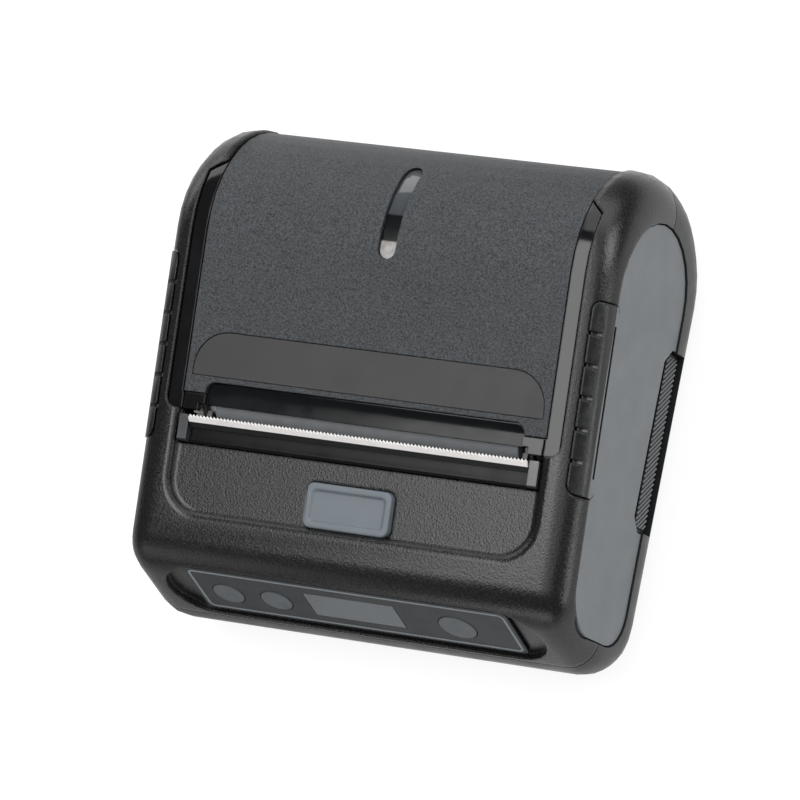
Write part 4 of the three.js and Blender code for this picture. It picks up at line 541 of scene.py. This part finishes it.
def ribbed_grip(node):
    """Mesh of a grip plate with fine ribs that lean forward as they rise, on a margin all round."""
    low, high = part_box(node)
    side = 1 if low.x > 0 else -1
    inner, crest = sorted((low.x, high.x), key=abs)
    seat = crest - side * RIB_DEPTH * MM
    sink = side * RIB_SINK * MM
    bottom, top = low.z + RIB_BOTTOM_MARGIN * MM, high.z - RIB_TOP_MARGIN * MM
    overrun = RIB_LEAN * (top - bottom)
    half_pitch = RIB_PITCH * MM / 2
    bm = bmesh.new()
    columns = []
    for step in range(int((high.y - low.y + overrun) / half_pitch) + 1):
        x = crest if step % 2 else seat + sink
        y = low.y + step * half_pitch
        columns.append((bm.verts.new((x, y, bottom)), bm.verts.new((x, y - overrun, top))))
    for here, there in zip(columns, columns[1:]):
        bm.faces.new((here[0], there[0], there[1], here[1]))
    front, back = low.y + RIB_END_MARGIN * MM, high.y - RIB_END_MARGIN * MM
    chamfer = GRIP_CHAMFER * MM
    shoulder = high.z - chamfer
    clear_beyond(bm, (0, front, 0), (0, -1, 0))
    clear_beyond(bm, (0, back, 0), (0, 1, 0))
    clear_beyond(bm, (0, front, shoulder), (0, -1, 1))
    clear_beyond(bm, (0, back, shoulder), (0, 1, 1))
    rim = [edge for edge in bm.edges if edge.is_boundary]
    for part in bmesh.ops.extrude_edge_only(bm, edges=rim)["geom"]:
        if isinstance(part, bmesh.types.BMVert):
            part.co.x = seat - sink
    bmesh.ops.edgeloop_fill(bm, edges=[edge for edge in bm.edges if edge.is_boundary])
    add_plate(bm, (
        (low.y, low.z), (high.y, low.z), (high.y, shoulder), (high.y - chamfer, high.z),
        (low.y + chamfer, high.z), (low.y, shoulder),
    ), inner, seat)
    bmesh.ops.recalc_face_normals(bm, faces=bm.faces)
    return bm


def dress(node):
    """The piece that shows a node in place of its plain solid."""
    bm = ribbed_grip(node) if node.startswith("rear_grip") else softened_solid(node)
    look = OWN_LOOKS.get(node, LOOKS[SLOT_OF[node]])
    piece = new_piece(node + "_skin", bm, BODY_OF[node], look)
    if node in FLOWING:
        flowing_normals(piece, FLOWING[node] * MM)
    else:
        finish_shading(piece)
    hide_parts(node)
    return piece


def shorten_spring(node):
    """Gives the button's spring piece a mesh of its own."""
    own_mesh(DRESSED[node])


DRESSED = {node: dress(node) for node in NODES}
shorten_spring("button_spring")


def paint(piece, look, chosen):
    """Gives a second look to the faces whose middle is chosen."""
    piece.data.materials.append(look)
    for face in piece.data.polygons:
        if chosen(face.center):
            face.material_index = 1


def rounded_outline(half_width, half_height, corner, steps=8):
    """Points (x, y) round a rectangle with rounded corners, steps to each quarter turn."""
    points = []
    for quarter, (side, up) in enumerate(((1, 1), (-1, 1), (-1, -1), (1, -1))):
        for step in range(steps + 1):
            turn = (quarter + step / steps) * pi / 2
            points.append((side * (half_width - corner) + corner * cos(turn),
                           up * (half_height - corner) + corner * sin(turn)))
    return points


def panel_ring():
    """Thin light line printed round the control panel, on its largest face that looks forward."""
    node = "control_overlay"
    front = max(DRESSED[node].data.polygons, key=lambda face: face.area * (face.normal.y < -0.2))
    across = Vector((1, 0, 0))
    out = front.normal.copy()
    up = out.cross(across).normalized()
    low, high = (Vector(corner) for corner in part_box(node))
    middle = (low + high) / 2
    middle += out * (front.center - middle).dot(out)
    face_height = (high.z - low.z - abs(out.z) * OVERLAY_THICKNESS * MM) / abs(up.z)
    half_width = (high.x - low.x) / 2 - RING_INSET * MM
    half_height = face_height / 2 - RING_INSET * MM
    section = (
        (0, 0), (RING_BEVEL, RING_RISE), (RING_WIDTH - RING_BEVEL, RING_RISE), (RING_WIDTH, 0),
    )
    bm = bmesh.new()
    loops = []
    for inset, rise in section:
        outline = rounded_outline(
            half_width - inset * MM, half_height - inset * MM, (RING_CORNER - inset) * MM)
        lift = out * (rise + RING_CLEARANCE) * MM
        loops.append([bm.verts.new(middle + across * x + up * y + lift) for x, y in outline])
    for inner, outer in zip(loops, loops[1:] + loops[:1]):
        for here in range(len(inner)):
            there = (here + 1) % len(inner)
            bm.faces.new((inner[here], inner[there], outer[there], outer[here]))
    bmesh.ops.recalc_face_normals(bm, faces=bm.faces)
    ring = new_piece("panel_ring", bm, BODY_OF[node], RING)
    finish_shading(ring)


LID_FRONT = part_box("name_band")[0].y
paint(DRESSED["tear_bar_holder"], CHANNEL,
      lambda place: abs(place.x) < CHANNEL_HALF_LENGTH * MM)
paint(DRESSED["lid_frame"], LIP,
      lambda place: place.y < LID_FRONT and abs(place.x) < LIP_HALF_LENGTH * MM)
for side in ("left", "right"):
    paint(DRESSED["front_grip_" + side], LOOKS["satin_grey"],
          lambda place: abs(place.x) > FLANGE_X * MM)
panel_ring()


# ---------------------------------------------------------------- studio

# The photograph's view: lens in millimetres, place in metres, turn from camera to frame axes
LENS = 275.801
CAMERA_PLACE = (0.6159072, -0.1807933, 1.2222589)
CAMERA_TURN = (
    (0.88313516, -0.11583314, 0.4545932),
    (0.1953103, 0.97184554, -0.1317958),
    (-0.42652805, 0.20518025, 0.88089437),
)

COOL = (0.95, 0.97, 1.0)
WHITE = (1.0, 1.0, 1.0)
FILL_STRENGTH = 0.35
REFLECTED_STRENGTH = 0.1

# The floor as it is seen: half its width and its height in metres, its glow and its shaded grey
FLOOR_HALF_WIDTH = 0.45
FLOOR_Z = -0.1 * MM
FLOOR_GLOW = 0.86
FLOOR_SHADED = 0.2

# Soft boxes one metre above the floor: name, x and y of the middle, width, height, radiance
OVERHEAD = (
    ("overhead_left", -0.25, 0.15, 0.48, 0.9, 4.9),
    ("overhead_right", 0.22, 0.1, 0.46, 0.9, 1.3),
)
# Soft boxes one metre away from the printer: name, azimuth from the front and elevation in degrees,
# width, height, radiance
ALL_ROUND = (
    ("right_back", 120, 30, 0.62, 0.42, 4.6),
    ("right_low", 82, 8, 0.5, 0.25, 4.0),
    ("front_low", 0, 11, 0.8, 0.34, 1.8),
    ("left_front", -45, 22, 0.45, 0.45, 0.9),
    ("left_back", -115, 8, 0.35, 0.25, 2.2),
    ("back_left", -140, 14, 0.55, 0.4, 2.4),
    ("back", 178, 28, 0.9, 0.7, 1.7),
)
MIDDLE = (0, 0, 0.03)


def softbox(name, place, target, width, height, radiance):
    """Rectangular lamp that looks from its place at the target."""
    data = bpy.data.lights.new(name, "AREA")
    data.shape = "RECTANGLE"
    data.size = width
    data.size_y = height
    data.energy = pi * width * height * radiance
    lamp = bpy.data.objects.new(name, data)
    lamp.location = place
    lamp.rotation_euler = (Vector(target) - Vector(place)).to_track_quat("-Z", "Y").to_euler()
    scene.collection.objects.link(lamp)


def mixed(tree, factor, first, second):
    """Two shaders mixed by a factor."""
    mix = tree.nodes.new("ShaderNodeMixShader")
    for source, socket in zip((factor, first, second), mix.inputs):
        tree.links.new(source, socket)
    return mix.outputs[0]


def greatest(tree, first, *others):
    """The greatest of some values, such as whether a ray is of one of some kinds."""
    for other in others:
        maximum = tree.nodes.new("ShaderNodeMath")
        maximum.operation = "MAXIMUM"
        tree.links.new(first, maximum.inputs[0])
        tree.links.new(other, maximum.inputs[1])
        first = maximum.outputs[0]
    return first


def make_world():
    """White where it is seen straight, dark in reflections and a soft fill for all other light."""
    world = bpy.data.worlds.new("studio")
    world.use_nodes = True
    scene.world = world
    tree = world.node_tree
    tree.nodes.clear()

    def background(colour, strength):
        made = tree.nodes.new("ShaderNodeBackground")
        made.inputs["Color"].default_value = (*colour, 1.0)
        made.inputs["Strength"].default_value = strength
        return made.outputs[0]

    ray = tree.nodes.new("ShaderNodeLightPath").outputs
    unseen = mixed(tree, ray["Is Glossy Ray"],
                   background(COOL, FILL_STRENGTH), background(COOL, REFLECTED_STRENGTH))
    straight = greatest(tree, ray["Is Camera Ray"], ray["Is Transmission Ray"])
    surface = mixed(tree, straight, unseen, background(WHITE, 1.0))
    output = tree.nodes.new("ShaderNodeOutputWorld")
    tree.links.new(surface, output.inputs["Surface"])


def mirrored_sheet(made):
    """The floor as reflections see it: bright, dimmer to the front left, dark at the back right."""
    spot = made.node("SeparateXYZ")
    made.link(made.place, spot.inputs[0])
    slanting = made.math("ADD", spot.outputs["X"], spot.outputs["Y"])
    bright = made.ranged(slanting, low=0.5, high=1.0, from_low=-0.14, from_high=0.0)
    beside = made.ranged(spot.outputs["X"], low=0, high=1, from_low=-0.05, from_high=0.03)
    beyond = made.ranged(spot.outputs["Y"], low=0, high=0.9, from_low=0.09, from_high=0.16)
    kept = made.math("SUBTRACT", 1.0, made.math("MULTIPLY", beside, beyond))
    sheet = made.node("Emission")
    made.link(made.math("MULTIPLY", bright, kept), sheet.inputs["Strength"])
    return sheet.outputs[0]


def make_floor():
    """Floor that lights the printer as white card does, and is nearly all glow where it is seen."""
    bm = bmesh.new()
    bmesh.ops.create_grid(bm, x_segments=2, y_segments=2, size=FLOOR_HALF_WIDTH)
    mesh = bpy.data.meshes.new("floor")
    bm.to_mesh(mesh)
    bm.free()
    floor = bpy.data.objects.new("floor", mesh)
    floor.location.z = FLOOR_Z
    scene.collection.objects.link(floor)
    made = Shader("floor_white", (0.93, 0.93, 0.93), roughness=0.7, specular=0.2)
    made.mottled(made.noise(cell=60.0), spread=0.004)
    shaded = made.node("BsdfDiffuse")
    shaded.inputs["Color"].default_value = (FLOOR_SHADED, FLOOR_SHADED, FLOOR_SHADED, 1.0)
    glow = made.node("Emission")
    glow.inputs["Strength"].default_value = FLOOR_GLOW
    both = made.node("AddShader")
    made.link(shaded.outputs[0], both.inputs[0])
    made.link(glow.outputs[0], both.inputs[1])
    ray = made.node("LightPath").outputs
    seen = mixed(made.tree, ray["Is Glossy Ray"], both.outputs[0], mirrored_sheet(made))
    seeing = greatest(
        made.tree, ray["Is Camera Ray"], ray["Is Glossy Ray"], ray["Is Transmission Ray"])
    surface = mixed(made.tree, seeing, made.shader.outputs[0], seen)
    made.link(surface, made.tree.nodes["Material Output"].inputs["Surface"])
    mesh.materials.append(made.material)


def make_camera():
    """The camera as it was fitted to the photograph."""
    data = bpy.data.cameras.new("camera")
    data.sensor_width = 36.0
    data.lens = LENS
    data.clip_end = 20.0
    camera = bpy.data.objects.new("camera", data)
    camera.matrix_world = Matrix.Translation(CAMERA_PLACE) @ Matrix(CAMERA_TURN).to_4x4()
    scene.collection.objects.link(camera)
    scene.camera = camera


make_world()
make_floor()
make_camera()
for name, x, y, *rest in OVERHEAD:
    softbox(name, (x, y, 1.0), (x, y, 0.0), *rest)
for name, azimuth, elevation, *rest in ALL_ROUND:
    turn, rise = radians(azimuth), radians(elevation)
    away = (sin(turn) * cos(rise), -cos(turn) * cos(rise), sin(rise) + MIDDLE[2])
    softbox(name, away, MIDDLE, *rest)
scene.view_settings.view_transform = "Standard"
